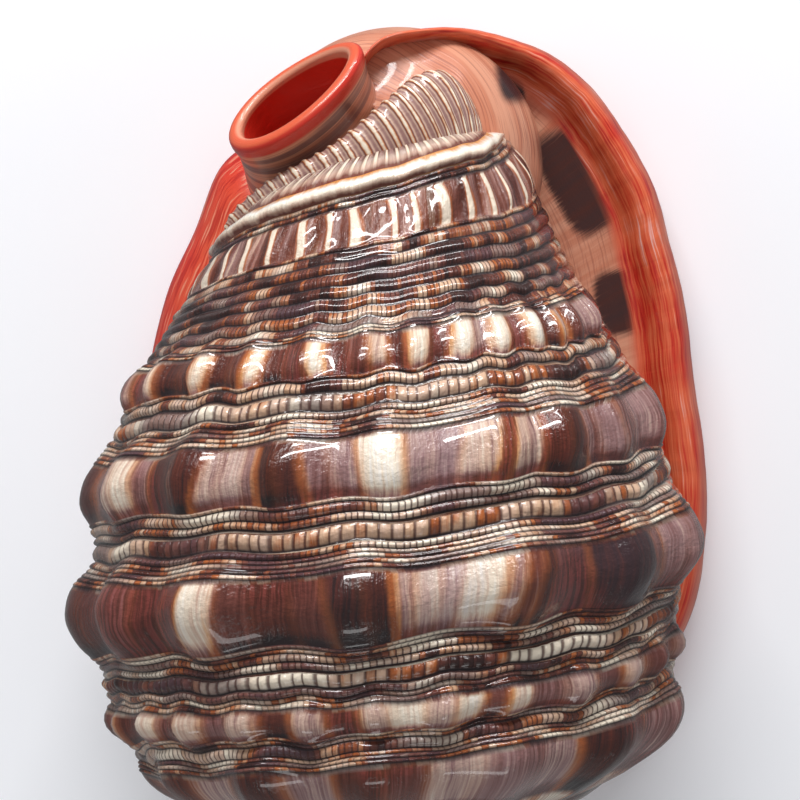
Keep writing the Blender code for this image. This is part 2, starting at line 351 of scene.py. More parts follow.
@dataclass(frozen=True)
class KnobRow:
    """One spiral row of knobs.

    The tones are stops (angle, darkness, violet) of its broad colour blocks.
    """

    centre: float
    half_width: float
    ridge: float
    knob: float
    spread: float
    angles: tuple[float, ...]
    tones: tuple[tuple[float, float, float], ...]

    def crest(self, theta: np.ndarray) -> np.ndarray:
        """1 on the top of a knob, near 0 in the saddles."""
        return np.max([bell(theta - angle, self.spread) for angle in self.angles], axis=0)

    def tone(self, theta: np.ndarray) -> tuple[np.ndarray, np.ndarray]:
        """Darkness and violet share of the colour blocks at an angle.

        Args:
            theta: angles round the axis, in degrees.

        Returns:
            The darkness and the violet share.
        """
        stops = np.array(sorted(self.tones))
        index = np.clip(np.searchsorted(stops[:, 0], theta) - 1, 0, len(stops) - 2)
        low, high = stops[index], stops[index + 1]
        share = smooth(0.34, 0.66, (theta - low[..., 0]) / (high[..., 0] - low[..., 0]))[..., None]
        mixed = low + (high - low) * share
        return mixed[..., 1], mixed[..., 2]


ROWS = {
    "neck": KnobRow(
        18.3, 3.9, 1.0, 2.3, 3.2,
        (25, 37, 45, 53, 63, 72, 84, 95, 108, 122, 135, 150, 165),
        (
            (180, 0.6, 0.3), (166, 0.35, 0.2), (158, 0.75, 0.2), (151, 0.25, 0.1), (146, 0.8, 0.1),
            (137, 0.7, 0.1), (134, 0.15, 0.0), (130, 0.75, 0.1), (123, 0.65, 0.1), (120, 0.2, 0.0),
            (116, 0.7, 0.1), (109, 0.6, 0.2), (106, 0.1, 0.0), (101, 0.7, 0.1), (96, 0.6, 0.1),
            (92, 0.3, 0.0), (88, 0.7, 0.1), (83, 0.15, 0.0), (78, 0.7, 0.2), (73, 0.1, 0.1),
            (68, 0.35, 0.5), (63, 0.1, 0.1), (58, 0.6, 0.3), (53, 0.1, 0.0), (48, 0.75, 0.1),
            (44, 0.3, 0.2), (38, 0.7, 0.2), (30, 0.4, 0.3), (10, 0.5, 0.3),
        ),
    ),
    "upper": KnobRow(
        -0.5, 6.6, 2.0, 2.8, 5.6,
        (20, 38, 54, 68, 90, 109, 129, 150, 172),
        (
            (190, 0.5, 0.2), (172, 0.8, 0.2), (158, 0.45, 0.3), (152, 0.3, 0.2), (147, 0.2, 0.1),
            (142, 0.45, 0.4), (137, 0.85, 0.1), (127, 0.8, 0.1), (124, 0.35, 0.3), (119, 0.3, 0.5),
            (115, 0.45, 0.4), (113, 0.85, 0.0), (107, 0.8, 0.1), (104, 0.5, 0.5), (97, 0.4, 0.5),
            (93, 0.12, 0.1), (89, 0.08, 0.0), (85, 0.35, 0.6), (78, 0.4, 0.8), (74, 0.25, 0.3),
            (70, 0.3, 0.0), (67.5, 0.75, 0.0), (65, 0.3, 0.1), (61, 0.35, 0.3), (58, 0.8, 0.0),
            (51, 0.85, 0.0), (48, 0.5, 0.4), (42, 0.45, 0.5), (36, 0.6, 0.3), (28, 0.45, 0.4),
            (10, 0.5, 0.4),
        ),
    ),
    "belly": KnobRow(
        -24.5, 7.5, 2.7, 4.1, 7.6,
        (21, 42, 66, 95, 123, 145, 168),
        (
            (190, 0.6, 0.2), (168, 0.75, 0.2), (158, 0.7, 0.3), (150, 0.55, 0.4), (143, 0.6, 0.4),
            (136, 0.8, 0.2), (129, 0.65, 0.3), (125, 0.15, 0.1), (121.5, 0.2, 0.1), (118, 0.7, 0.2),
            (110, 0.75, 0.1), (103, 0.7, 0.2), (97, 0.9, 0.1), (90, 0.85, 0.1), (87.5, 0.35, 0.3),
            (83, 0.2, 0.6), (79, 0.3, 0.8), (75, 0.12, 0.4), (72, 0.15, 0.1), (69, 0.4, 0.0),
            (66, 0.6, 0.0), (62.5, 0.85, 0.1), (60, 0.7, 0.7), (55, 0.75, 0.8), (50, 0.95, 0.5),
            (40, 0.95, 0.4), (35, 0.7, 0.5), (29, 0.45, 0.5), (21, 0.5, 0.5), (10, 0.5, 0.5),
        ),
    ),
    "lower": KnobRow(
        -45.5, 2.9, 0.8, 2.4, 3.6,
        (15, 27, 38, 52, 67, 79, 92, 105, 118, 131, 143, 157, 170),
        (
            (190, 0.5, 0.2), (170, 0.6, 0.2), (160, 0.3, 0.2), (152, 0.7, 0.1), (143, 0.2, 0.1),
            (136, 0.6, 0.3), (130, 0.25, 0.1), (124, 0.5, 0.4), (118, 0.3, 0.2), (111, 0.75, 0.1),
            (104, 0.35, 0.3), (98, 0.75, 0.1), (92, 0.3, 0.2), (86, 0.12, 0.1), (80, 0.3, 0.3),
            (75, 0.1, 0.1), (70, 0.6, 0.2), (66, 0.2, 0.1), (60, 0.5, 0.4), (52, 0.35, 0.4),
            (44, 0.6, 0.4), (38, 0.3, 0.4), (27, 0.6, 0.3), (10, 0.4, 0.3),
        ),
    ),
    "shoulder": KnobRow(
        -57.5, 5.4, 2.1, 3.3, 6.6,
        (19, 41, 66, 92, 117, 142, 168),
        (
            (190, 0.6, 0.3), (168, 0.7, 0.2), (155, 0.4, 0.4), (142, 0.75, 0.1), (130, 0.35, 0.4),
            (117, 0.8, 0.1), (105, 0.4, 0.5), (95, 0.75, 0.0), (86, 0.6, 0.1), (78, 0.3, 0.4),
            (66, 0.45, 0.5), (55, 0.4, 0.5), (46, 0.85, 0.1), (36, 0.85, 0.1), (28, 0.45, 0.5),
            (10, 0.5, 0.5),
        ),
    ),
}


def spiral_cells() -> list[tuple[CellKind, float]]:
    """Kinds and widths of the strips from the apex to the neck's end.

    Returns:
        The kind and the width of each strip, in millimetres.
    """
    thin, beads, large, band = CellKind.THIN, CellKind.BEADS, CellKind.LARGE, CellKind.BAND
    spire = [(thin if number % 2 else beads, 2.6) for number in range(SPIRE_STRIPS)]
    return (
        spire
        + [(band, 9.0), (thin, 0.7), (thin, 0.7)]
        + [(thin, 0.7), (beads, 2.0), (thin, 0.8), (thin, 0.7)]
        + [(band, 5.2)]
        + [(thin, 1.0), (thin, 0.9), (beads, 1.7), (large, 3.1), (beads, 1.4), (beads, 1.4)]
        + [(thin, 0.8), (thin, 0.8)]
        + [(band, 12.2), (thin, 0.8), (thin, 0.8), (thin, 0.8)]
        + [(thin, 0.8), (beads, 1.4), (large, 3.7), (beads, 1.5), (beads, 2.0), (thin, 0.8)]
        + [(band, 10.6), (thin, 0.8), (thin, 0.8), (thin, 0.8)]
        + [(thin, 0.8), (beads, 1.3), (large, 3.4), (beads, 2.1), (thin, 0.8)]
        + [(band, 6.6), (thin, 0.6), (thin, 0.6)]
        + [(thin, 1.4), (beads, 2.2), (beads, 2.4), (beads, 2.2), (beads, 2.4), (beads, 2.2), (thin, 2.0)]
        + [(thin, 0.9), (CellKind.RIBS, 7.8), (thin, 1.1), (thin, 1.0), (CellKind.RIDGE, 3.4)]
    )


class BodyWhorl:
    """The knobbed last whorl and the spire, as one closed skin."""

    def __init__(self) -> None:
        """Lays the strips out from the apex to the neck's end."""
        self.kinds, widths = zip(*spiral_cells())
        self.edges = APEX + np.concatenate([[0.0], np.cumsum(widths)])
        self.edges += SPIRE_FOOT - self.edges[SPIRE_STRIPS]
        self.edges[0] = APEX

    def ring_places(self) -> tuple[np.ndarray, np.ndarray]:
        """Surface coordinates of the rings, and their places counted in strips.

        Returns:
            The surface coordinates and the places in strips.
        """
        across: list[float] = []
        strips: list[float] = []
        for number, kind in enumerate(self.kinds):
            low, high = self.edges[number], self.edges[number + 1]
            rings = CELL_RINGS.get(kind) or max(4, round((high - low) / BAND_RING_STEP))
            for step in range(rings):
                share = step / rings
                across.append(low + (high - low) * share)
                strips.append(number + share)
        across.extend(np.linspace(self.edges[-1], FRONT_REACH, FRONT_RINGS))
        strips.extend(len(self.kinds) + np.arange(FRONT_RINGS) * FRONT_STRIP_STEP)
        return np.array(across[1:]), np.array(strips[1:])

    def columns(self) -> np.ndarray:
        """Angles of the columns: fine on the back, coarse below.

        Returns:
            The angles in degrees, each once.
        """
        step = BEAD_ANGLE / COLUMNS_PER_BEAD
        back = np.arange(BACK_START, BACK_END + 0.5 * step, step)
        below = np.linspace(BACK_END, UNDERSIDE_END, UNDERSIDE_COLUMNS)[1:-1]
        return np.concatenate([back, below])

    @staticmethod
    def climb(theta: np.ndarray) -> np.ndarray:
        """How far the rows climb towards the canal at an angle in degrees.

        Args:
            theta: angles round the axis, in degrees.

        Returns:
            The rise in millimetres.
        """
        per_degree = HALF_TURN_RISE / 180.0
        below = per_degree * 110.0 * (2.0 * smooth(BACK_END, UNDERSIDE_END, theta) - 1.0)
        return np.where(theta <= BACK_END, per_degree * (90.0 - theta), below)

    @staticmethod
    def back_share(theta: np.ndarray) -> np.ndarray:
        """1 on the back and flanks, 0 on the underside."""
        wrapped = (theta + 90.0) % 360.0 - 90.0
        return smooth(-30.0, -12.0, wrapped) * (1.0 - smooth(192.0, 210.0, wrapped))

    def waved(self, theta: np.ndarray, across: np.ndarray) -> np.ndarray:
        """Surface coordinates pushed away from the knobs, so that the cords wave round them.

        Args:
            theta: angles round the axis, in degrees.
            across: surface coordinates along the axis, in millimetres.

        Returns:
            The pushed coordinates.
        """
        result = across + 0.35 * wander(theta, SEED, 70.0) * smooth(-62.0, -50.0, across)
        for row in ROWS.values():
            reach = row.half_width + 2.5
            offset = (across - row.centre) / reach
            push = 0.26 * row.knob * (row.crest(theta) - 0.35)
            result = result + push * offset * np.exp(1.0 - offset**2)
        return result

    def marked(self, kind: CellKind, number: np.ndarray) -> np.ndarray:
        """Whether the strips with these numbers are of a kind."""
        return np.array([own is kind for own in self.kinds])[number]

    def relief(
        self, theta: np.ndarray, across: np.ndarray, strips: np.ndarray, radius: np.ndarray
    ) -> np.ndarray:
        """Height of rows, cords and beads over the smooth whorl.

        Args:
            theta: angles round the axis, in degrees.
            across: surface coordinates along the axis, in millimetres.
            strips: places counted in spiral strips from the apex.
            radius: smooth radius of the whorl there.

        Returns:
            The height in millimetres.
        """
        height = np.zeros(np.broadcast(theta, across).shape)
        for row in ROWS.values():
            crest = row.crest(theta)
            width = row.half_width * (0.92 + 0.22 * crest)
            offset = np.clip(np.abs(across - row.centre) / (1.25 * width), 0.0, 1.0)
            share = (1.0 - offset**2.0) ** 1.4
            flanks = [angle + 0.35 * row.spread for angle in row.angles]
            seam = np.max([bell(theta - flank, 0.2 * row.spread) for flank in flanks], axis=0)
            height += share * (row.ridge + row.knob * crest + 0.12 * row.knob * seam)
        number = np.clip(strips.astype(int), 0, len(self.kinds) - 1)
        rise = np.array([CELL_RISE[kind] for kind in self.kinds])[number]
        beaded = self.marked(CellKind.LARGE, number)
        ribbed = self.marked(CellKind.RIBS, number)
        inside = strips < len(self.kinds)
        crown = np.sin(np.pi * np.clip(strips - number, 0.0, 1.0)) ** 0.8 * inside
        bead = 0.5 + 0.5 * np.cos(2.0 * np.pi * self.bead_phase(theta, number))
        notch = np.where(beaded, 0.45 + 0.55 * bead, 1.0)
        height += rise * crown * np.where(ribbed, 0.3, notch)
        rib = 0.5 + 0.5 * np.cos(2.0 * np.pi * self.rib_phase(theta, strips))
        height += 0.7 * ribbed * rib * np.sin(np.pi * np.clip(strips - number, 0.0, 1.0)) ** 0.5
        height += 0.5 * wander(theta + 3.0 * across, SEED + 1, 90.0) * smooth(-60.0, -40.0, across)
        return height + self.spire_relief(theta, across, radius)

    def bead_phase(self, theta: np.ndarray, number: np.ndarray) -> np.ndarray:
        """Place along a cord, counted in beads, which are twice as close on the finer cords.

        Args:
            theta: angles round the axis, in degrees.
            number: numbers of the strips.

        Returns:
            The place, whole at the middle of each bead.
        """
        large = self.marked(CellKind.LARGE, number)
        uneven = 0.2 * wander(theta + 31.0 * number, SEED + 12, 8.0)
        return theta / BEAD_ANGLE * np.where(large, 1.0, 1.8) + 0.25 * (number * 3 % 4) + uneven

    @staticmethod
    def rib_phase(theta: np.ndarray, strips: np.ndarray) -> np.ndarray:
        """Place along the band of ribs, counted in arched ribs of uneven width."""
        place = strips - np.floor(strips)
        return theta / RIB_ANGLE + 0.2 * wander(theta, SEED + 8, 40.0) - 0.3 * (place - 0.2) ** 2

    @staticmethod
    def spire_place(theta: np.ndarray, radius: np.ndarray) -> tuple[np.ndarray, np.ndarray]:
        """Share of the way over an earlier whorl, and the angle along its knobs.

        Args:
            theta: angles round the axis, in degrees.
            radius: smooth radius of the whorl there.

        Returns:
            The share of the way and the knobs' angle in radians.
        """
        growth = np.log(np.maximum(radius, 0.5) / SUTURE_RADIUS) / math.log(WHORL_GROWTH)
        turns = growth + (theta - LIP_ANGLE) / 360.0
        return turns - np.floor(turns), SPIRE_KNOBS_PER_TURN * np.radians(theta) + 2.0 * np.floor(turns)

    def spire_relief(self, theta: np.ndarray, across: np.ndarray, radius: np.ndarray) -> np.ndarray:
        """Sutures and knobs of the earlier whorls.

        Args:
            theta: angles round the axis, in degrees.
            across: surface coordinates along the axis, in millimetres.
            radius: smooth radius of the whorl there.

        Returns:
            The height in millimetres, negative in the sutures.
        """
        safe = np.maximum(radius, 0.5)
        phase, ring = self.spire_place(theta, radius)
        knobs = SPIRE_KNOB_RISE * hump(phase - 0.62, 0.3) * (0.5 + 0.5 * np.cos(ring))
        groove = SUTURE_DEPTH * hump(np.minimum(phase, 1.0 - phase), 0.14)
        share = np.clip(safe / 26.0, 0.0, 1.0) * (1.0 - smooth(-68.0, -61.0, across))
        return (knobs - groove) * share

    def tones(
        self, theta: np.ndarray, across: np.ndarray, strips: np.ndarray
    ) -> dict[str, np.ndarray]:
        """Darkness, violet share, band share and block edges of the colouring, with painted shade along
        the bands' lower edges.

        Args:
            theta: angles round the axis, in degrees.
            across: surface coordinates along the axis, in millimetres.
            strips: places counted in spiral strips from the apex.

        Returns:
            One field for each part of the colouring.
        """
        shape = np.broadcast(theta, across).shape
        dark = np.full(shape, 0.45) + 0.2 * wander(theta + 0.8 * across, SEED + 2, 37.0)
        dark += 0.3 * smooth(22.0, 26.0, across)
        violet = 0.4 + 0.3 * wander(theta - 1.7 * across, SEED + 3, 55.0)
        band = np.zeros(shape)
        edge = np.zeros(shape)
        number = np.clip(strips.astype(int), 0, len(self.kinds) - 1)
        place = strips - number
        banded = self.marked(CellKind.BAND, number) * (place < 1.0)
        # Painted shade: each band darkens along its lower edge, the side turned away from the key light.
        painted_low_edge_shade = banded * (1.0 - smooth(0.0, 0.24, place))
        for row in ROWS.values():
            share = banded * (np.abs(across - row.centre) < row.half_width + 3.0)
            slant = theta + 0.25 * (across - row.centre) * np.sin(0.11 * theta)
            tone, tint = row.tone(slant)
            change = np.abs(row.tone(slant + 0.9)[0] - row.tone(slant - 0.9)[0])
            edge = edge + share * (np.clip(2.4 * change, 0.0, 1.0) - edge)
            dark = dark + share * (tone - dark)
            violet = violet + share * (tint - violet)
            band = np.maximum(band, share)
        return {
            "dark": dark,
            "violet": np.clip(violet, 0.0, 1.0),
            "band": band,
            "edge": edge,
            "painted_low_edge_shade": painted_low_edge_shade,
        }

    def skin(self) -> Skin:
        """The whole skin with its colour fields.

        Returns:
            The region's closed skin.
        """
        across, strips = self.ring_places()
        theta = self.columns()[None, :]
        across = across[:, None]
        strips = strips[:, None]
        points, radius = self.surface(theta, across, strips)
        number = np.clip(strips.astype(int), 0, len(self.kinds) - 1)
        beaded = np.array([BEAD_SHARE.get(kind, 0.0) for kind in self.kinds])[number]
        mouth = 1.0 - smooth(1.0, 1.5, aperture_reach(points[..., 0], points[..., 1]))
        spire_phase, spire_ring = self.spire_place(theta, radius)
        fields = {
            "bead": self.bead_phase(theta, number),
            "strip": strips,
            "along": theta * math.radians(1.0) * 50.0,
            "across": across,
            "beaded": beaded,
            "ribbed": self.marked(CellKind.RIBS, number) * 1.0,
            "ridge": self.marked(CellKind.RIDGE, number) * 1.0,
            "rib": self.rib_phase(theta, strips),
            "front": smooth(0.0, 0.8, strips - len(self.kinds)),
            "mouth": mouth * (points[..., 2] < MOUTH_TOP),
            "spire": 1.0 - smooth(-70.0, -63.5, across),
            "suture": hump(spire_phase - 0.5, 0.5) ** 0.5,
            "spire_knob": 0.5 + 0.5 * np.cos(spire_ring),
            **self.tones(theta, across, strips),
        }
        apex = np.array((0.0, PROFILE.at(APEX)[1], axis_height(-84.0)))
        tip = np.array((0.0, FRONT_END + 1.0, axis_height(NECK_END)))
        return Skin("body_whorl", points, apex, tip, fields)

    def surface(
        self, theta: np.ndarray, across: np.ndarray, strips: np.ndarray
    ) -> tuple[np.ndarray, np.ndarray]:
        """Points of the skin and the smooth radius below them.

        Args:
            theta: angles round the axis, in degrees.
            across: surface coordinates along the axis, in millimetres.
            strips: places counted in spiral strips from the apex.

        Returns:
            The points and the smooth radius.
        """
        reach = smooth(-80.0, -50.0, across) * (1.0 + 0.4 * smooth(25.0, 49.5, across))
        reach = reach * (1.0 - smooth(48.0, 72.0, across))
        placed = PROFILE.at(self.waved(theta, across) + reach * self.climb(theta))
        y = np.minimum(placed[..., 1], FRONT_END + 0.1 * (placed[..., 1] - FRONT_END))
        radius = np.maximum(placed[..., 2], 0.0) * (1.0 - smooth(51.5, 66.0, across))
        relief = self.relief(theta, across, strips, radius)
        grown = radius + self.back_share(theta) * relief * np.clip(radius / 6.0, 0.0, 1.0)
        cosine = np.cos(np.radians(theta))
        sine = np.sin(np.radians(theta))
        centre = axis_height(y)
        depth = np.minimum(centre + UNDERSIDE_DIP, grown * 0.95)
        below = centre - depth * np.abs(sine) ** 0.85
        x = np.where(sine >= 0.0, grown * cosine, grown * np.sign(cosine) * np.abs(cosine) ** 0.8)
        z = np.where(sine >= 0.0, centre + grown * sine, np.maximum(below, self.floor_height(x, y)))
        return np.stack([x, y, z], axis=-1), radius

    @staticmethod
    def floor_height(x: np.ndarray, y: np.ndarray) -> np.ndarray:
        """Lowest place of the underside: near the ground, but high over the aperture."""
        return 1.5 + (APERTURE_ROOF - 1.5) * (1.0 - smooth(0.55, 1.0, aperture_reach(x, y)))


def aperture_reach(x: np.ndarray, y: np.ndarray) -> np.ndarray:
    """Plan distance from the aperture's middle line, 1 at the aperture's edge.

    Args:
        x: plan places across the shell.
        y: plan places along it.

    Returns:
        The distance as a share of the aperture's half width.
    """
    distance = np.full(np.shape(x), 1.0e3)
    for place in APERTURE_LINE.at(np.linspace(0.0, 1.0, 60)):
        distance = np.minimum(distance, np.hypot(x - place[0], y - place[1]))
    return distance / APERTURE_REACH


def rounded_end(ring: np.ndarray, softness: float = 0.12) -> np.ndarray:
    """Section scale that closes a sweep with rounded ends."""
    edge = np.clip(np.minimum(ring, 1.0 - ring) / softness, 0.0, 1.0)
    return np.sqrt(1.0 - (1.0 - edge) ** 2)


def sweep_frame(line: Stations, at: np.ndarray, towards: Sequence[float]) -> tuple[np.ndarray, ...]:
    """Centres and radii of a sweep and two cross directions, the first nearest the given one.

    Args:
        line: stations of the middle line and the radius.
        at: shares of the way along it.
        towards: the direction that the first cross direction keeps near.

    Returns:
        The centres, the radii and the two cross directions.
    """
    row = line.at(at)
    step = 0.01
    run = line.at(at + step)[:, :3] - line.at(at - step)[:, :3]
    run /= np.linalg.norm(run, axis=-1, keepdims=True)
    wanted = np.array(towards, dtype=float)
    side = wanted - run * (run @ wanted)[..., None]
    side /= np.linalg.norm(side, axis=-1, keepdims=True)
    return row[:, :3], row[:, 3:4], side, np.cross(side, run)


# Fasciole: the ribbed roll that curls round the neck
FASCIOLE = Stations(
    (
        (-31.5, 40.5, 42.0, 1.6),
        (-20.5, 46.3, 49.0, 3.4),
        (-8.2, 51.3, 53.0, 4.6),
        (3.8, 57.0, 52.5, 6.6),
        (11.8, 61.0, 48.0, 6.8),
        (16.6, 60.6, 41.0, 3.6),
    ),
    by_count=True,
)
FASCIOLE_LONG_AXIS = (-0.5, 0.86, 0.2)
FASCIOLE_RIBS = 26
FASCIOLE_RINGS_PER_RIB = 12
FASCIOLE_FLATNESS = 0.6
FASCIOLE_RUN = 60.0


def fasciole_skin() -> Skin:
    """The roll with its arched ribs.

    Returns:
        The region's closed skin.
    """
    at = np.linspace(0.0, 1.0, FASCIOLE_RIBS * FASCIOLE_RINGS_PER_RIB + 2)[1:-1]
    turn = np.linspace(0.0, 2.0 * math.pi, 57)[None, :-1]
    centre, radius, side, up = sweep_frame(FASCIOLE, at, FASCIOLE_LONG_AXIS)
    lean = at[:, None] + 0.02 * np.sin(turn) + 0.006 * wander(at * FASCIOLE_RUN, SEED + 9, 17.0)[:, None]
    rib = 0.5 + 0.5 * np.cos(2.0 * math.pi * FASCIOLE_RIBS * lean)
    radius = radius + 0.35 * (rib**2.0 - 0.3)
    broad = (1.15 + 0.3 * smooth(0.35, 0.8, at))[:, None]
    radius = radius * rounded_end(at, 0.08)[:, None]
    points = (
        centre[:, None, :]
        + side[:, None, :] * (broad * radius * np.cos(turn))[..., None]
        + up[:, None, :] * (FASCIOLE_FLATNESS * radius * np.sin(turn))[..., None]
    )
    ends = FASCIOLE.at(np.array((0.0, 1.0)))[:, :3]
    fields = {"rib": rib, "along": at[:, None] * FASCIOLE_RUN, "turn": turn}
    return Skin("fasciole", points, ends[0], ends[1], fields)


# Canal: stations of its sections from the aperture to the mouth, each with the
# centre, the plan direction of the long axis, the lean of the section and its wall
# and bore half lengths
CANAL_SECTIONS = Stations(
    (
        (2.0, 44.0, 8.0, 28.0, 10.0, 12.0, 6.0),
        (-6.0, 50.5, 14.0, 28.0, 14.0, 16.5, 7.0),
        (-12.0, 54.5, 25.0, 30.0, 24.0, 16.5, 9.0),
        (-15.0, 60.0, 37.0, 34.0, 40.0, 15.2, 10.6),
        (-17.6, 65.8, 47.0, 38.0, 57.0, 14.6, 12.6),
    ),
    by_count=True,
)
CANAL_FLATTENING = 0.72
BORE_FLATTENING = 0.66
BORE_END = 0.29
CANAL_RUN = 60.0

# Neck: the full part of the shell under the fasciole, hollowed by the valley
NECK_CENTRE = np.array((2.0, 54.0, 22.0))
NECK_REACH = np.array((29.0, 28.0, 25.0))
NECK_FLOOR = 1.0
NECK_LINE_CENTRE = np.array((-14.0, 58.0, 62.0))
CANAL_FLOOR = 14.0
CANAL_MARGIN = 11.0
VALLEY_LINE = Stations(((-30.0, 46.0), (-20.0, 54.5), (-9.0, 63.0), (6.0, 72.5)), by_count=True)
VALLEY_DEPTH = 3.0
VALLEY_HALF_WIDTH = 9.0


def canal_distance(points: np.ndarray) -> np.ndarray:
    """Plan distance from the canal, 1 on the middle of its wall.

    Only the sections that are lower than a point, or a little above it, count.

    Args:
        points: places in millimetres, along a last axis.

    Returns:
        The distance in half lengths of the wall.
    """
    closest = np.full(points.shape[:-1], 1.0e3)
    for row in CANAL_SECTIONS.at(np.linspace(0.35, 1.0, 14)):
        bearing, lean = np.radians(row[3:5])
        dx, dy = points[..., 0] - row[0], points[..., 1] - row[1]
        over = np.cos(lean) + 0.12
        half = 0.5 * (row[5] + row[6])
        long_part = (dx * np.cos(bearing) + dy * np.sin(bearing)) / half
        short_part = (dy * np.cos(bearing) - dx * np.sin(bearing)) / (half * CANAL_FLATTENING * over)
        level = points[..., 2] + CANAL_MARGIN > row[2]
        closest = np.minimum(closest, np.where(level, np.hypot(long_part, short_part), 1.0e3))
    return closest


def neck_skin() -> Skin:
    """The neck with the smooth valley between canal and fasciole.

    Returns:
        The region's closed skin.
    """
    ring = np.linspace(-0.5 * math.pi, 0.5 * math.pi, 98)[1:-1, None]
    turn = np.linspace(0.0, 2.0 * math.pi, 161)[None, :-1]
    flat = np.cos(ring)
    rise = np.sin(ring) * np.ones_like(turn)
    ball = np.stack([flat * np.cos(turn), flat * np.sin(turn), rise], axis=-1)
    points = NECK_CENTRE + NECK_REACH * ball
    line = VALLEY_LINE.at(np.linspace(0.0, 1.0, 40))
    distance = np.min(np.linalg.norm(points[..., None, :2] - line, axis=-1), axis=-1)
    points[..., 2] -= VALLEY_DEPTH * hump(distance, VALLEY_HALF_WIDTH) * (ball[..., 2] > 0.0)
    points[..., 2] = np.maximum(points[..., 2], NECK_FLOOR)
    inside = 1.0 - smooth(0.8, 1.0, canal_distance(points))
    points[..., 2] += inside * (np.minimum(points[..., 2], CANAL_FLOOR) - points[..., 2])
    low = (NECK_CENTRE[0], NECK_CENTRE[1], NECK_FLOOR)
    poles = np.array((low, NECK_CENTRE + (0.0, 0.0, NECK_REACH[2])))
    fields = {
        "across": 1.3 * np.linalg.norm(points - NECK_LINE_CENTRE, axis=-1),
        "along": points[..., 0] + points[..., 1],
        "patch": lip_patches(points),
    }
    return Skin("neck", points, poles[0], poles[1], fields)


def canal_place(at: np.ndarray, radius: np.ndarray, turn: np.ndarray, flattening: float) -> np.ndarray:
    """Points of the canal's sections, which lean more and more towards the mouth.

    Args:
        at: shares of the way to the mouth.
        radius: half lengths of the sections' long axes.
        turn: angles round a section, in radians.
        flattening: short axis as a share of the long one.

    Returns:
        The points, a ring for each share.
    """
    row = CANAL_SECTIONS.at(at)
    bearing = np.radians(row[:, 3])
    lean = np.radians(row[:, 4])
    long_axis = np.stack([np.cos(bearing), np.sin(bearing), 0.0 * bearing], axis=-1)
    down = np.sin(bearing) * np.cos(lean), -np.cos(bearing) * np.cos(lean), np.sin(lean)
    short_axis = np.stack(down, axis=-1)
    across = radius * np.cos(turn)
    over = radius * flattening * np.sin(turn) * (1.0 - 0.12 * np.cos(turn))
    long_part = long_axis[:, None, :] * across[..., None]
    short_part = short_axis[:, None, :] * over[..., None]
    return row[:, None, :3] + long_part + short_part


def canal_skin() -> Skin:
    """Outer wall, rolled rim and bore of the canal in one skin.

    Returns:
        The region's closed skin.
    """
    outer = np.linspace(0.02, 1.0, 96)
    edge = np.linspace(0.0, math.pi, 17)[1:-1]
    inner = np.linspace(1.0, 0.3, 84)
    turn = np.linspace(0.0, 2.0 * math.pi, 193)[None, :-1]
    wall, bore = CANAL_SECTIONS.at(outer)[:, 5:6], CANAL_SECTIONS.at(inner)[:, 6:7]
    wall = wall * np.sqrt(np.clip((outer[:, None] + 0.01) / 0.12, 0.0, 1.0))
    near = 0.5 + 0.5 * np.sin(turn)
    flare = 1.4 * smooth(0.86, 1.0, outer)[:, None] * (0.35 + 0.65 * near)
    outside = canal_place(outer, wall + flare, turn, CANAL_FLATTENING)
    narrowing = np.sqrt(np.clip((inner[:, None] - BORE_END) / 0.1, 0.0, 1.0))
    inside = canal_place(inner, bore * narrowing, turn, BORE_FLATTENING)
    middle = 0.5 * (outside[-1] + inside[0])
    half = 0.5 * (outside[-1] - inside[0])
    bearing, lean = np.radians(CANAL_SECTIONS.rows[-1, 3:5])
    facing = np.array((-np.sin(bearing) * np.sin(lean), np.cos(bearing) * np.sin(lean), np.cos(lean)))
    bulge = 0.8 * np.linalg.norm(half, axis=-1, keepdims=True) * facing
    roll = middle + half * np.cos(edge)[:, None, None] + bulge * np.sin(edge)[:, None, None]
    points = np.concatenate([outside, roll, inside])
    counts = (len(outer), len(edge), len(inner))
    rim = [smooth(0.945, 0.975, outer), np.ones(counts[1]), smooth(0.965, 0.99, inner)]
    rolled = CANAL_RUN + np.arange(counts[1]) * 0.4
    along = [outer * CANAL_RUN, rolled, 66.0 + inner * CANAL_RUN]
    fields = {
        "inside": np.repeat((0.0, 0.0, 1.0), counts)[:, None],
        # depth also drives the painted shade that darkens the bore further in.
        "depth": np.concatenate([1.0 - outer, np.zeros(counts[1]), 1.0 - inner])[:, None],
        "rim": np.concatenate(rim)[:, None],
        "turn": turn / (2.0 * math.pi),
        "along": np.concatenate(along)[:, None],
    }
    ends = CANAL_SECTIONS.at(np.array((0.0, BORE_END)))[:, :3]
    return Skin("siphonal_canal", points, ends[0], ends[1], fields)


# Outer lip: outer edge with rim height and rim width, and the inner edge at the aperture
LIP_OUTER = Stations(
    (
        (-7.0, 72.0, 46.0, 3.0),
        (-0.5, 79.0, 43.0, 3.4),
        (12.0, 82.0, 35.0, 5.0),
        (22.4, 81.5, 28.0, 7.0),
        (33.0, 78.2, 23.5, 8.5),
        (42.0, 71.2, 20.5, 9.5),
        (49.0, 61.8, 19.0, 10.0),
        (55.0, 50.7, 18.0, 10.5),
        (58.6, 38.0, 17.5, 10.5),
        (61.5, 26.0, 17.0, 11.0),
        (63.5, 10.0, 17.0, 11.0),
        (65.8, -7.0, 17.0, 11.0),
        (65.8, -22.0, 17.0, 11.0),
        (62.8, -38.0, 16.0, 10.5),
        (54.5, -52.0, 14.5, 10.0),
        (42.0, -60.5, 12.5, 9.0),
        (27.0, -63.0, 9.0, 7.0),
    ),
    by_count=True,
)
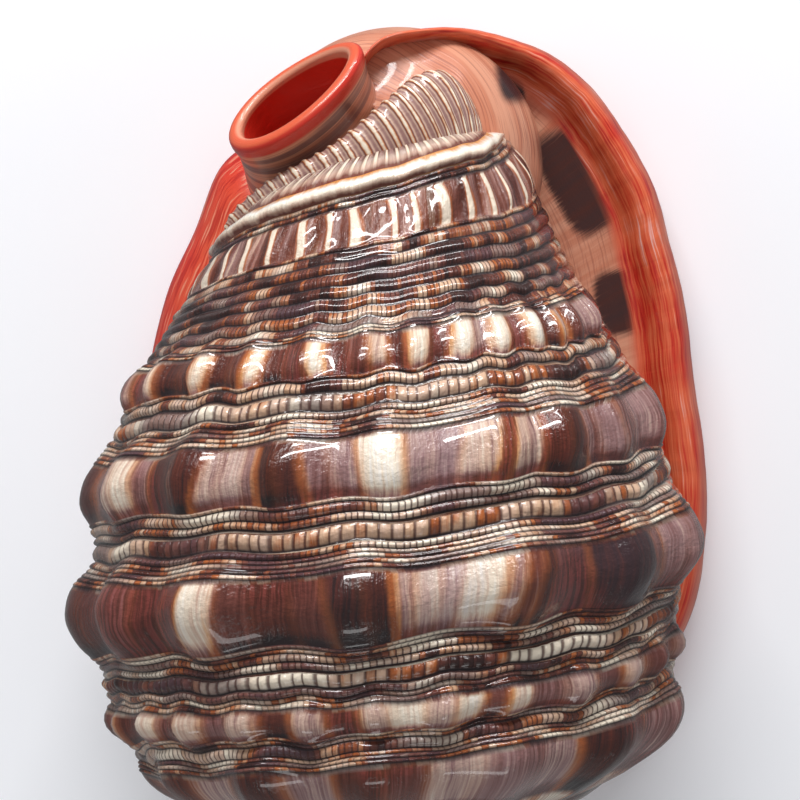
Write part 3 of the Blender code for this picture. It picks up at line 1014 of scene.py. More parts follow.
LIP_INNER = Stations(
    (
        (-5.0, 66.0),
        (-1.0, 66.0),
        (4.0, 65.0),
        (8.5, 61.0),
        (13.0, 55.0),
        (17.5, 48.0),
        (21.5, 40.5),
        (25.0, 32.0),
        (27.5, 23.0),
        (29.5, 13.0),
        (30.5, 3.0),
        (30.8, -8.0),
        (30.0, -19.0),
        (28.0, -30.0),
        (24.5, -41.0),
        (20.0, -50.0),
        (15.0, -57.0),
    ),
    by_count=True,
)
LIP_CHANNEL_SHARE = 0.78
LIP_RUN = 255.0
LIP_RIM_FULLNESS = 1.15
LIP_EDGE_HEIGHT = 3.0

# Dark patches on the lip's back: centre, half length, half width and heading in degrees
LIP_PATCHES = (
    (24.4, 70.5, 4.6, 3.0, 100.0),
    (38.1, 51.5, 11.5, 5.6, 118.0),
    (46.9, 27.0, 6.8, 4.8, 100.0),
    (50.5, 5.0, 7.0, 5.0, 92.0),
    (53.0, -18.0, 7.0, 5.0, 88.0),
    (49.0, -38.0, 6.0, 5.0, 70.0),
)


def lip_patches(points: np.ndarray) -> np.ndarray:
    """Share of dark patch at plan points.

    Args:
        points: places in millimetres, along a last axis.

    Returns:
        The share, 1 in the middle of a patch.
    """
    total = np.zeros(points.shape[:-1])
    for x, y, length, width, heading in LIP_PATCHES:
        c, s = math.cos(math.radians(heading)), math.sin(math.radians(heading))
        dx, dy = points[..., 0] - x, points[..., 1] - y
        along, aside = np.abs(dx * c + dy * s) / length, np.abs(dy * c - dx * s) / width
        reach = (along**3.5 + aside**3.5) ** (1.0 / 3.5)
        total = np.maximum(total, 1.0 - smooth(0.7, 1.25, reach))
    return total


def lip_skin() -> Skin:
    """The flared flange with its rolled rim, channel and flat underside.

    Returns:
        The region's closed skin.
    """
    at = np.linspace(0.0, 1.0, 522)[1:-1]
    turn = np.linspace(0.0, 2.0 * math.pi, 97)[None, :-1]
    outer = LIP_OUTER.at(at)
    inner = LIP_INNER.at(at)
    size = rounded_end(at, 0.03)[:, None]
    span = np.linalg.norm(inner - outer[:, :2], axis=-1)[:, None]
    inward = 0.5 * span * (1.0 - np.cos(turn))
    rim_height, rim_width = outer[:, 2:3], LIP_RIM_FULLNESS * outer[:, 3:4]
    rolled = hump(inward - 0.42 * rim_width, 0.8 * rim_width) ** 0.5
    channel = LIP_CHANNEL_SHARE * rim_height + 0.12 * np.maximum(inward - rim_width, 0.0)
    sine = np.sin(turn)
    soft = np.sqrt(np.clip(np.abs(sine) * 1.9, 0.0, 1.0))
    scallop = 0.06 * wander(at * LIP_RUN, SEED + 5, 11.0)[:, None]
    top = (np.maximum(channel, rim_height * rolled) + scallop * rolled) * soft
    raised = LIP_EDGE_HEIGHT + size * (top - LIP_EDGE_HEIGHT * soft)
    height = np.where(sine >= 0.0, raised, LIP_EDGE_HEIGHT - LIP_EDGE_HEIGHT * size * soft)
    share = 0.5 * (1.0 - size * np.cos(turn))
    plan = outer[:, None, :2] + (inner - outer[:, :2])[:, None, :] * share[..., None]
    outward = (outer[:, :2] - inner) / span
    bulge = 0.15 * wander(at * LIP_RUN, SEED + 6, 33.0)[:, None] * (inward < rim_width)
    plan = plan + outward[:, None, :] * bulge[..., None] * 0.6
    points = np.concatenate([plan, height[..., None]], axis=-1)
    fields = {
        "run": at[:, None] * LIP_RUN,
        "inward": inward,
        "rolled": 1.0 - smooth(0.92, 1.04, inward / rim_width),
        "under": (sine < 0.0) * soft,
        "patch": lip_patches(points) * (sine > 0.0),
    }
    first = np.array((*LIP_OUTER.at(0.0)[:2], LIP_EDGE_HEIGHT))
    last = np.array((*LIP_OUTER.at(1.0)[:2], LIP_EDGE_HEIGHT))
    first[:2] = 0.5 * (first[:2] + LIP_INNER.at(0.0))
    last[:2] = 0.5 * (last[:2] + LIP_INNER.at(1.0))
    return Skin("outer_lip", points, first, last, fields)


# Parietal shield: plan outline, from the right edge at the aperture round the front
SHIELD_OUTLINE = (
    (19.5, 4.0), (16.5, 24.0), (9.0, 40.0), (-1.0, 53.0), (-14.0, 61.0), (-26.0, 61.0), (-34.8, 55.5),
    (-40.4, 42.0), (-46.5, 28.0), (-50.5, 8.0), (-50.0, -15.0), (-43.0, -38.0), (-30.0, -54.0),
    (-13.0, -60.5), (1.0, -57.0), (11.5, -42.0), (18.0, -20.0),
)
SHIELD_MIDDLE = np.array((-14.0, 2.0))
SHIELD_DOME = 22.0
SHIELD_EDGE = 5.0
SHIELD_STEPS = 20


def shield_skin() -> Skin:
    """The callus below the body, flat underneath and thin at its edge.

    Returns:
        The region's closed skin.
    """
    outline = Stations([*SHIELD_OUTLINE[-2:], *SHIELD_OUTLINE, *SHIELD_OUTLINE[:3]], by_count=True)
    count = len(SHIELD_OUTLINE)
    steps = (np.arange(count * SHIELD_STEPS) / float(SHIELD_STEPS) + 2.0) / (count + 4)
    edge = outline.at(steps)
    lift = np.linspace(-0.5 * math.pi, 0.5 * math.pi, 92)[1:-1]
    flat = np.where(lift < 0.0, np.cos(lift) ** 0.35, np.cos(lift))
    low = SHIELD_EDGE * (1.0 - np.clip(-np.sin(lift) * 1.25, 0.0, 1.0) ** 0.7)
    high = SHIELD_EDGE + (SHIELD_DOME - SHIELD_EDGE) * np.sin(np.clip(lift, 0.0, None)) ** 1.15
    height = np.where(lift < 0.0, low, high)
    plan = SHIELD_MIDDLE + (edge - SHIELD_MIDDLE)[None, :, :] * flat[:, None, None]
    level = np.broadcast_to(height[:, None, None], (*plan.shape[:2], 1))
    points = np.concatenate([plan, level], axis=-1)
    poles = (np.array((*SHIELD_MIDDLE, 0.0)), np.array((*SHIELD_MIDDLE, SHIELD_DOME)))
    turn = np.arange(len(steps))[None, :] / len(steps)
    fields = {"reach": flat[:, None], "turn": turn}
    return Skin("parietal_shield", points, poles[0], poles[1], fields)


@dataclass(frozen=True)
class FoldSet:
    """A comb of folds across one edge of the aperture."""

    name: str
    count: int
    reach: tuple[float, float, float]
    offset: float


APERTURE_LINE = Stations(
    ((2.0, 55.0), (13.0, 44.0), (21.0, 26.0), (25.0, 4.0), (24.5, -18.0), (20.0, -38.0), (12.0, -52.0)),
    by_count=True,
)
FOLDS = (
    FoldSet("lip_teeth", 19, (5.6, 2.1, 2.4), 9.6),
    FoldSet("columellar_folds", 16, (5.0, 1.7, 1.9), -8.9),
)
FOLD_START = 0.13
FOLD_END = 0.9


class FoldComb:
    """Folds repeated along the aperture's edge with geometry nodes."""

    def __init__(self, folds: FoldSet) -> None:
        """Keeps the set of folds."""
        self.folds = folds

    def guide(self) -> bpy.types.Object:
        """A mesh line along the aperture, with one point for each fold.

        Returns:
            The guide, linked to the scene, with the folds' headings.
        """
        at = np.linspace(FOLD_START, FOLD_END, self.folds.count)
        place = APERTURE_LINE.at(at)
        run = APERTURE_LINE.heading(at)
        left = np.stack([-run[:, 1], run[:, 0]], axis=-1)
        plan = place + left * self.folds.offset
        lift = np.full((len(at), 1), self.folds.reach[2] + 0.15)
        verts = (np.hstack([plan, lift]) + FRAME_SHIFT) * MM
        mesh = bpy.data.meshes.new(f"{self.folds.name}_guide")
        mesh.from_pydata(verts.tolist(), [], [])
        swing = mesh.attributes.new("swing", "FLOAT", "POINT")
        swing.data.foreach_set("value", np.arctan2(left[:, 1], left[:, 0]).astype(np.float32))
        item = bpy.data.objects.new(f"{self.folds.name}_guide", mesh)
        bpy.context.scene.collection.objects.link(item)
        return item

    def tree(self, material: bpy.types.Material) -> bpy.types.NodeTree:
        """The node tree that puts one rounded fold on every point.

        Args:
            material: finish of the folds.

        Returns:
            The geometry node tree.
        """
        tree = bpy.data.node_groups.new(self.folds.name, "GeometryNodeTree")
        tree.interface.new_socket("Geometry", in_out="INPUT", socket_type="NodeSocketGeometry")
        tree.interface.new_socket("Geometry", in_out="OUTPUT", socket_type="NodeSocketGeometry")
        nodes, links = tree.nodes, tree.links
        source = nodes.new("NodeGroupInput")
        result = nodes.new("NodeGroupOutput")
        ball = nodes.new("GeometryNodeMeshUVSphere")
        ball.inputs["Segments"].default_value = 24
        ball.inputs["Rings"].default_value = 14
        ball.inputs["Radius"].default_value = MM
        shade = nodes.new("GeometryNodeSetShadeSmooth")
        swing = nodes.new("GeometryNodeInputNamedAttribute")
        swing.inputs["Name"].default_value = "swing"
        turn = nodes.new("ShaderNodeCombineXYZ")
        spread = nodes.new("GeometryNodeInstanceOnPoints")
        spread.inputs["Scale"].default_value = self.folds.reach
        real = nodes.new("GeometryNodeRealizeInstances")
        paint = nodes.new("GeometryNodeSetMaterial")
        paint.inputs["Material"].default_value = material
        links.new(ball.outputs["Mesh"], shade.inputs["Geometry"])
        links.new(swing.outputs["Attribute"], turn.inputs["Z"])
        links.new(source.outputs["Geometry"], spread.inputs["Points"])
        links.new(shade.outputs["Geometry"], spread.inputs["Instance"])
        links.new(turn.outputs["Vector"], spread.inputs["Rotation"])
        links.new(spread.outputs["Instances"], real.inputs["Geometry"])
        links.new(real.outputs["Geometry"], paint.inputs["Geometry"])
        links.new(paint.outputs["Geometry"], result.inputs["Geometry"])
        return tree

    def build(self, material: bpy.types.Material) -> bpy.types.Object:
        """The folds as one plain mesh object.

        Args:
            material: finish of the folds.

        Returns:
            The mesh object, linked to the scene.
        """
        guide = self.guide()
        modifier = guide.modifiers.new("folds", "NODES")
        modifier.node_group = self.tree(material)
        evaluated = guide.evaluated_get(bpy.context.evaluated_depsgraph_get())
        mesh = bpy.data.meshes.new_from_object(evaluated)
        mesh.name = self.folds.name
        item = bpy.data.objects.new(self.folds.name, mesh)
        bpy.context.scene.collection.objects.link(item)
        bpy.data.objects.remove(guide, do_unlink=True)
        LOG.info("%s: %d faces", self.folds.name, len(mesh.polygons))
        return item


class Graph:
    """Short calls for building one node tree."""

    def __init__(self, tree: bpy.types.NodeTree) -> None:
        """Starts with an empty count of nodes."""
        self.tree = tree
        self.made = 0

    def node(self, kind: str, **settings: object) -> bpy.types.Node:
        """A new node with its settings, placed in a loose grid.

        Args:
            kind: node type.
            settings: properties to set on it.

        Returns:
            The node.
        """
        node = self.tree.nodes.new(kind)
        node.location = (200.0 * (self.made % 12), -260.0 * (self.made // 12))
        self.made += 1
        for key, value in settings.items():
            setattr(node, key, value)
        return node

    def put(self, socket: bpy.types.NodeSocket, value: object) -> None:
        """Links a socket's input or sets its value.

        Args:
            socket: the input.
            value: an output socket or a plain value.
        """
        if isinstance(value, bpy.types.NodeSocket):
            self.tree.links.new(value, socket)
        else:
            socket.default_value = value

    def field(self, name: str) -> bpy.types.NodeSocket:
        """A point attribute's value."""
        return self.node("ShaderNodeAttribute", attribute_name=name).outputs["Fac"]

    def math(self, operation: str, *values: object) -> bpy.types.NodeSocket:
        """A math node on sockets or numbers.

        Args:
            operation: the operation's name.
            values: sockets or numbers, in the node's order.

        Returns:
            The output socket.
        """
        node = self.node("ShaderNodeMath", operation=operation)
        for socket, value in zip(node.inputs, values):
            self.put(socket, value)
        return node.outputs[0]

    def times(self, first: object, second: object) -> bpy.types.NodeSocket:
        """The product of two values."""
        return self.math("MULTIPLY", first, second)

    def plus(self, first: object, second: object) -> bpy.types.NodeSocket:
        """The sum of two values."""
        return self.math("ADD", first, second)

    def scaled(self, value: object, factor: object, offset: object) -> bpy.types.NodeSocket:
        """A value times a factor, plus an offset."""
        return self.math("MULTIPLY_ADD", value, factor, offset)

    def step(
        self, value: object, low: float, high: float, to_low: float = 0.0, to_high: float = 1.0
    ) -> bpy.types.NodeSocket:
        """A soft step of a value from one range to another.

        Args:
            value: what is compared.
            low: where the step starts.
            high: where it ends.
            to_low: result before it.
            to_high: result after it.

        Returns:
            The output socket.
        """
        node = self.node("ShaderNodeMapRange", interpolation_type="SMOOTHSTEP")
        ends = {"From Min": low, "From Max": high, "To Min": to_low, "To Max": to_high}
        self.put(node.inputs["Value"], value)
        for name, item in ends.items():
            self.put(node.inputs[name], item)
        return node.outputs["Result"]

    def vector(self, x: object = 0.0, y: object = 0.0, z: object = 0.0) -> bpy.types.NodeSocket:
        """A vector from three values.

        Args:
            x: first part.
            y: second part.
            z: third part.

        Returns:
            The output socket.
        """
        node = self.node("ShaderNodeCombineXYZ")
        for socket, value in zip(node.inputs, (x, y, z)):
            self.put(socket, value)
        return node.outputs[0]

    def noise(
        self, vector: object, scale: float, detail: float = 2.0, roughness: float = 0.5
    ) -> bpy.types.NodeSocket:
        """A noise value over a vector.

        Args:
            vector: where the noise is read.
            scale: how fine it is.
            detail: number of finer layers.
            roughness: strength of the finer layers.

        Returns:
            The output socket.
        """
        node = self.node("ShaderNodeTexNoise")
        self.put(node.inputs["Vector"], vector)
        self.put(node.inputs["Scale"], scale)
        self.put(node.inputs["Detail"], detail)
        self.put(node.inputs["Roughness"], roughness)
        return node.outputs["Fac"]

    def chance(self, vector: object) -> bpy.types.NodeSocket:
        """A random value for each place of a vector.

        Args:
            vector: the place.

        Returns:
            The output socket.
        """
        node = self.node("ShaderNodeTexWhiteNoise", noise_dimensions="2D")
        self.put(node.inputs["Vector"], vector)
        return node.outputs["Value"]

    def mix(self, share: object, first: object, second: object) -> bpy.types.NodeSocket:
        """A mix of two colours.

        Args:
            share: share of the second colour.
            first: first colour.
            second: second colour.

        Returns:
            The output socket.
        """
        node = self.node("ShaderNodeMix", data_type="RGBA")
        self.put(node.inputs[0], share)
        self.put(node.inputs[6], first)
        self.put(node.inputs[7], second)
        return node.outputs[2]

    def ramp(self, value: object, stops: Sequence[tuple[float, Colour]]) -> bpy.types.NodeSocket:
        """A colour ramp through the stops.

        Args:
            value: where the ramp is read.
            stops: places and colours, in order.

        Returns:
            The output socket.
        """
        node = self.node("ShaderNodeValToRGB")
        elements = node.color_ramp.elements
        while len(elements) < len(stops):
            elements.new(0.5)
        for element, (place, colour) in zip(elements, stops):
            element.position = place
            element.color = colour
        self.put(node.inputs[0], value)
        return node.outputs["Color"]

    def bump(self, height: object, distance: float, strength: float) -> bpy.types.NodeSocket:
        """A normal from a height.

        Args:
            height: height of the surface.
            distance: height of one unit, in metres.
            strength: share of the effect.

        Returns:
            The output socket.
        """
        node = self.node("ShaderNodeBump")
        node.inputs["Distance"].default_value = distance
        node.inputs["Strength"].default_value = strength
        self.put(node.inputs["Height"], height)
        return node.outputs["Normal"]


@dataclass(frozen=True)
class Gloss:
    """The gloss of one region."""

    roughness: float
    coat: float
    coat_roughness: float = 0.06
    specular: float = 0.5


POLISHED = Gloss(roughness=0.22, coat=0.8, coat_roughness=0.03, specular=0.4)
SMOOTH_CALLUS = Gloss(roughness=0.32, coat=0.35, coat_roughness=0.08, specular=0.4)


class Pigment:
    """The shell's colours, and the colours of its painted shade and highlights."""

    CREAM = srgb(236, 222, 202)
    WHITE = srgb(240, 234, 226)
    BLUSH = srgb(206, 174, 154)
    SAND = srgb(206, 168, 138)
    OCHRE = srgb(206, 142, 82)
    AMBER = srgb(168, 92, 46)
    MAUVE = srgb(150, 112, 106)
    MAROON = srgb(134, 58, 52)
    UMBER = srgb(112, 60, 48)
    CHESTNUT = srgb(82, 36, 24)
    CHOCOLATE = srgb(50, 26, 24)
    NIGHT = srgb(28, 17, 19)
    VIOLET = srgb(156, 130, 138)
    DUSK = srgb(90, 64, 70)
    # Painted shade for the grooves, the spire's sutures and the gaps between beads.
    GROOVE_SHADE = srgb(38, 26, 30)
    BEAD_GAP_SHADE = srgb(78, 42, 38)
    SALMON = srgb(194, 122, 94)
    CORAL = srgb(222, 108, 72)
    PALE_SALMON = srgb(212, 150, 122)
    ORANGE = srgb(208, 88, 56)
    RED = srgb(196, 48, 34)
    DEEP_RED = srgb(164, 24, 20)
    # Near black red of the painted shade deep in the canal's bore.
    BORE_SHADE_RED = srgb(84, 12, 14)
    # Pink of the painted highlights on the lip's rim.
    PINK_HIGHLIGHT = srgb(226, 168, 160)
    LINE = srgb(150, 84, 66)
    PATCH = srgb(52, 38, 40)


class Finish:
    """One procedural material and its node graph."""

    def __init__(self, name: str, gloss: Gloss) -> None:
        """Makes the material and sets its gloss."""
        self.material = bpy.data.materials.new(name)
        self.material.use_nodes = True
        self.graph = Graph(self.material.node_tree)
        self.shader = self.material.node_tree.nodes["Principled BSDF"]
        self.shader.inputs["Roughness"].default_value = gloss.roughness
        self.shader.inputs["Coat Weight"].default_value = gloss.coat
        self.shader.inputs["Coat Roughness"].default_value = gloss.coat_roughness
        self.shader.inputs["Specular IOR Level"].default_value = gloss.specular

    def close(
        self,
        colour: bpy.types.NodeSocket,
        normal: bpy.types.NodeSocket,
        roughness: bpy.types.NodeSocket | None = None,
    ) -> bpy.types.Material:
        """Feeds the shader and returns the material.

        Args:
            colour: colour over the surface.
            normal: bumped normal.
            roughness: roughness, where it varies.

        Returns:
            The finished material.
        """
        self.graph.put(self.shader.inputs["Base Color"], colour)
        self.graph.put(self.shader.inputs["Normal"], normal)
        if roughness is not None:
            self.graph.put(self.shader.inputs["Roughness"], roughness)
        return self.material


STRIAE = "growth_striae"


def striae_group() -> bpy.types.NodeTree:
    """Fine growth lines: a group from Along and Across to Lines and Shade.

    Returns:
        The node group.
    """
    tree = bpy.data.node_groups.new(STRIAE, "ShaderNodeTree")
    for name in ("Along", "Across"):
        tree.interface.new_socket(name, in_out="INPUT", socket_type="NodeSocketFloat")
    for name in ("Lines", "Shade"):
        tree.interface.new_socket(name, in_out="OUTPUT", socket_type="NodeSocketFloat")
    graph = Graph(tree)
    source = graph.node("NodeGroupInput")
    result = graph.node("NodeGroupOutput")
    along, across = source.outputs["Along"], source.outputs["Across"]
    sway = graph.noise(graph.vector(graph.times(along, 0.08), graph.times(across, 0.12)), 1.0)
    bent = graph.plus(along, graph.times(sway, 1.6))
    fine = graph.noise(graph.vector(bent, graph.times(across, 0.05)), 1.7, 2.0, 0.6)
    broad = graph.noise(graph.vector(bent, graph.times(across, 0.04), 7.0), 0.35, 3.0, 0.55)
    graph.put(result.inputs["Lines"], fine)
    graph.put(result.inputs["Shade"], broad)
    return tree


def add_striae(
    graph: Graph, along: object, across: object
) -> tuple[bpy.types.NodeSocket, bpy.types.NodeSocket]:
    """Puts the shared growth lines into a graph.

    Args:
        graph: the material's graph.
        along: coordinate across the lines.
        across: coordinate along them.

    Returns:
        The fine lines and the broad shade.
    """
    tree = bpy.data.node_groups.get(STRIAE) or striae_group()
    group = graph.node("ShaderNodeGroup", node_tree=tree)
    graph.put(group.inputs["Along"], along)
    graph.put(group.inputs["Across"], across)
    return group.outputs["Lines"], group.outputs["Shade"]


def whorl_material() -> bpy.types.Material:
    """Colour blocks on the knob rows, beads, and painted shade in the grooves between them.

    Returns:
        The finished material.
    """
    finish = Finish("knobbed_whorl", POLISHED)
    graph = finish.graph
    along, across = graph.field("along"), graph.field("across")
    strip, bead = graph.field("strip"), graph.field("bead")
    band, beaded = graph.field("band"), graph.field("beaded")
    ribbed, ridge = graph.field("ribbed"), graph.field("ridge")
    dark, violet = graph.field("dark"), graph.field("violet")
    lines, shade = add_striae(graph, along, across)

    place = graph.math("FRACT", strip)
    crown = graph.math("SINE", graph.times(place, math.pi))
    # Painted shade: the grooves between the cords get a near black colour.
    groove = graph.step(crown, 0.05, 0.6, 1.0, 0.0)
    number = graph.math("FLOOR", strip)
    shifted = graph.plus(bead, 0.5)
    bead_place = graph.math("FRACT", shifted)
    bead_crown = graph.math("SINE", graph.times(bead_place, math.pi))
    # Painted shade in the gaps between beads.
    gap = graph.times(graph.step(bead_crown, 0.1, 0.6, 1.0, 0.0), beaded)
    bead_number = graph.math("FLOOR", shifted)

    slow = graph.noise(graph.vector(graph.times(bead_number, 0.11), graph.times(number, 3.7)), 1.0, 1.0)
    quick = graph.chance(graph.vector(bead_number, number))
    choice = graph.scaled(slow, 2.4, -1.22)
    choice = graph.plus(choice, graph.times(quick, 0.26))
    choice = graph.plus(choice, graph.times(dark, 0.75))
    choice = graph.plus(choice, graph.scaled(lines, 0.2, -0.1))
    cord_colour = graph.ramp(
        choice,
        (
            (0.08, Pigment.CREAM),
            (0.28, Pigment.BLUSH),
            (0.44, Pigment.SAND),
            (0.54, Pigment.AMBER),
            (0.7, Pigment.UMBER),
            (0.92, Pigment.CHOCOLATE),
        ),
    )
    dusky = graph.noise(graph.vector(graph.times(along, 0.05), graph.times(number, 1.9), 4.0), 1.0, 1.0)
    cord_colour = graph.mix(graph.step(dusky, 0.5, 0.62, 0.0, 0.75), cord_colour, Pigment.DUSK)
    deep = graph.plus(dark, graph.scaled(lines, 0.5, -0.25))
    deep = graph.plus(deep, graph.scaled(shade, 0.3, -0.15))
    # Painted shade along each band's lower edge deepens the tone there.
    deep = graph.plus(deep, graph.times(graph.field("painted_low_edge_shade"), 0.35))
    band_colour = graph.ramp(
        deep,
        (
            (0.0, Pigment.WHITE),
            (0.14, Pigment.CREAM),
            (0.27, Pigment.BLUSH),
            (0.42, Pigment.MAUVE),
            (0.58, Pigment.UMBER),
            (0.76, Pigment.CHESTNUT),
            (0.98, Pigment.NIGHT),
        ),
    )
    veil = graph.mix(graph.step(deep, 0.25, 0.7), Pigment.VIOLET, Pigment.DUSK)
    band_colour = graph.mix(graph.times(violet, 0.7), band_colour, veil)
    warm = graph.times(graph.field("edge"), graph.step(shade, 0.35, 0.6, 0.25, 0.85))
    warmth = graph.mix(graph.step(deep, 0.3, 0.7), Pigment.OCHRE, Pigment.AMBER)
    band_colour = graph.mix(warm, band_colour, warmth)
    blood = graph.noise(graph.vector(graph.times(along, 0.045), graph.times(across, 0.04), 9.0), 1.0, 1.0)
    blood = graph.times(graph.step(blood, 0.48, 0.6, 0.0, 0.55), graph.step(deep, 0.3, 0.5))
    redness = graph.mix(graph.step(lines, 0.4, 0.6), Pigment.MAROON, Pigment.CHESTNUT)
    band_colour = graph.mix(blood, band_colour, redness)
    colour = graph.mix(band, cord_colour, band_colour)

    rib_wave = graph.math("COSINE", graph.times(graph.field("rib"), 2.0 * math.pi))
    rib_share = graph.times(graph.step(rib_wave, 0.62, 0.9, 0.0, 0.9), ribbed)
    rib_flank = graph.times(graph.step(rib_wave, 0.3, 0.62), ribbed)
    rib_ground = graph.times(ribbed, 0.8)
    rib_shade = graph.ramp(
        graph.plus(shade, graph.scaled(dark, 0.4, -0.2)),
        (
            (0.35, Pigment.BLUSH),
            (0.5, Pigment.MAUVE),
            (0.6, Pigment.UMBER),
            (0.72, Pigment.CHESTNUT),
        ),
    )
    colour = graph.mix(rib_ground, colour, rib_shade)
    colour = graph.mix(graph.times(rib_flank, 0.8), colour, Pigment.AMBER)
    colour = graph.mix(rib_share, colour, Pigment.CREAM)
    ridge_tone = graph.plus(place, graph.scaled(shade, 0.5, -0.25))
    ridge_colour = graph.ramp(
        ridge_tone,
        (
            (0.1, Pigment.UMBER),
            (0.3, Pigment.BLUSH),
            (0.5, Pigment.CREAM),
            (0.72, Pigment.WHITE),
            (0.95, Pigment.OCHRE),
        ),
    )
    colour = graph.mix(ridge, colour, ridge_colour)
    front_wave = graph.math("SINE", graph.times(along, 2.0 * math.pi / FRONT_RIB_STEP))
    front_colour = graph.ramp(
        graph.scaled(front_wave, 0.5, shade),
        (
            (0.2, Pigment.MAUVE),
            (0.5, Pigment.UMBER),
            (0.72, Pigment.CHESTNUT),
            (0.82, Pigment.SAND),
            (0.95, Pigment.CREAM),
        ),
    )
    colour = graph.mix(graph.field("front"), colour, front_colour)

    spire = graph.field("spire")
    spire_tone = graph.scaled(graph.field("spire_knob"), -0.35, 0.62)
    spire_tone = graph.plus(spire_tone, graph.scaled(lines, 0.5, -0.25))
    spire_tone = graph.plus(spire_tone, graph.scaled(slow, 0.8, -0.4))
    spire_colour = graph.ramp(
        spire_tone,
        (
            (0.1, Pigment.CREAM),
            (0.3, Pigment.BLUSH),
            (0.45, Pigment.MAUVE),
            (0.6, Pigment.UMBER),
            (0.85, Pigment.CHOCOLATE),
        ),
    )
    # Painted shade fills the spire's sutures.
    suture = graph.step(graph.field("suture"), 0.12, 0.4, 0.85, 0.0)
    spire_colour = graph.mix(suture, spire_colour, Pigment.GROOVE_SHADE)
    colour = graph.mix(graph.times(spire, 0.85), colour, spire_colour)

    open_share = graph.math("SUBTRACT", 1.0, graph.math("MAXIMUM", band, graph.times(spire, 0.8)))
    open_share = graph.times(open_share, graph.math("SUBTRACT", 1.0, graph.math("MAXIMUM", ribbed, ridge)))
    # The painted shade of the grooves and bead gaps goes on the open cords only.
    groove_share = graph.times(groove, open_share)
    between_beads = graph.times(gap, open_share)
    colour = graph.mix(graph.times(between_beads, 0.85), colour, Pigment.BEAD_GAP_SHADE)
    colour = graph.mix(graph.times(groove_share, 0.95), colour, Pigment.GROOVE_SHADE)

    inner = graph.mix(graph.step(shade, 0.35, 0.65), Pigment.UMBER, Pigment.LINE)
    colour = graph.mix(graph.field("mouth"), colour, inner)
    height = graph.times(crown, open_share)
    height = graph.plus(height, graph.times(gap, -0.5))
    height = graph.plus(height, graph.times(lines, 0.45))
    ripple = graph.noise(graph.vector(along, across), 0.9, 3.0, 0.6)
    height = graph.plus(height, graph.times(ripple, 0.9))
    height = graph.plus(height, graph.times(graph.field("front"), front_wave))
    normal = graph.bump(height, 0.55 * MM, 0.7)
    roughness = graph.scaled(groove_share, 0.3, 0.19)
    return finish.close(colour, normal, roughness)


def fasciole_material() -> bpy.types.Material:
    """Cream ribs with amber edges over a brown ground.

    Returns:
        The finished material.
    """
    finish = Finish("ribbed_fasciole", POLISHED)
    graph = finish.graph
    rib = graph.field("rib")
    lines, shade = add_striae(graph, graph.times(graph.field("turn"), 7.0), graph.field("along"))
    wave = graph.plus(rib, graph.scaled(shade, 0.6, -0.32))
    colour = graph.ramp(
        wave,
        (
            (0.0, Pigment.MAUVE),
            (0.3, Pigment.BLUSH),
            (0.5, Pigment.MAUVE),
            (0.66, Pigment.UMBER),
            (0.76, Pigment.AMBER),
            (0.86, Pigment.SAND),
            (0.95, Pigment.CREAM),
        ),
    )
    normal = graph.bump(graph.plus(rib, lines), 0.3 * MM, 0.4)
    return finish.close(colour, normal)


def neck_material() -> bpy.types.Material:
    """Salmon ground with fine parallel growth lines and the lip's dark patches.

    Returns:
        The finished material.
    """
    finish = Finish("salmon_neck", SMOOTH_CALLUS)
    graph = finish.graph
    lines, shade = add_striae(graph, graph.field("across"), graph.field("along"))
    colour = graph.mix(graph.step(shade, 0.35, 0.65), Pigment.SALMON, Pigment.PALE_SALMON)
    colour = graph.mix(graph.step(lines, 0.5, 0.62, 0.0, 0.65), colour, Pigment.LINE)
    colour = graph.mix(graph.field("patch"), colour, Pigment.PATCH)
    return finish.close(colour, graph.bump(lines, 0.3 * MM, 0.5))


def canal_material() -> bpy.types.Material:
    """Banded outer wall, orange rim and red bore, with painted shade that darkens the bore deeper in.

    Returns:
        The finished material.
    """
    finish = Finish("red_canal", SMOOTH_CALLUS)
    graph = finish.graph
    depth, inside, rim = graph.field("depth"), graph.field("inside"), graph.field("rim")
    along = graph.field("along")
    lines, shade = add_striae(graph, along, graph.times(graph.field("turn"), 30.0))
    wall = graph.mix(graph.step(shade, 0.35, 0.65), Pigment.SALMON, Pigment.PALE_SALMON)
    arcs = graph.math("SINE", graph.scaled(shade, 9.0, graph.times(along, 1.3)))
    wall = graph.mix(graph.step(arcs, -0.1, 0.7, 0.0, 0.75), wall, Pigment.DUSK)
    wall = graph.mix(graph.step(lines, 0.5, 0.62, 0.0, 0.5), wall, Pigment.LINE)
    # Painted shade: the bore darkens towards near black red the deeper it goes.
    bore = graph.ramp(
        depth,
        ((0.0, Pigment.RED), (0.3, Pigment.RED), (0.5, Pigment.DEEP_RED), (0.7, Pigment.BORE_SHADE_RED)),
    )
    colour = graph.mix(inside, wall, bore)
    edge = graph.mix(graph.step(along, 60.6, 61.6), Pigment.RED, Pigment.ORANGE)
    edge = graph.mix(graph.step(graph.plus(along, shade), 63.6, 64.8, 0.0, 0.8), edge, Pigment.PALE_SALMON)
    colour = graph.mix(graph.step(rim, 0.1, 0.8), colour, edge)
    return finish.close(colour, graph.bump(lines, 0.25 * MM, 0.4))


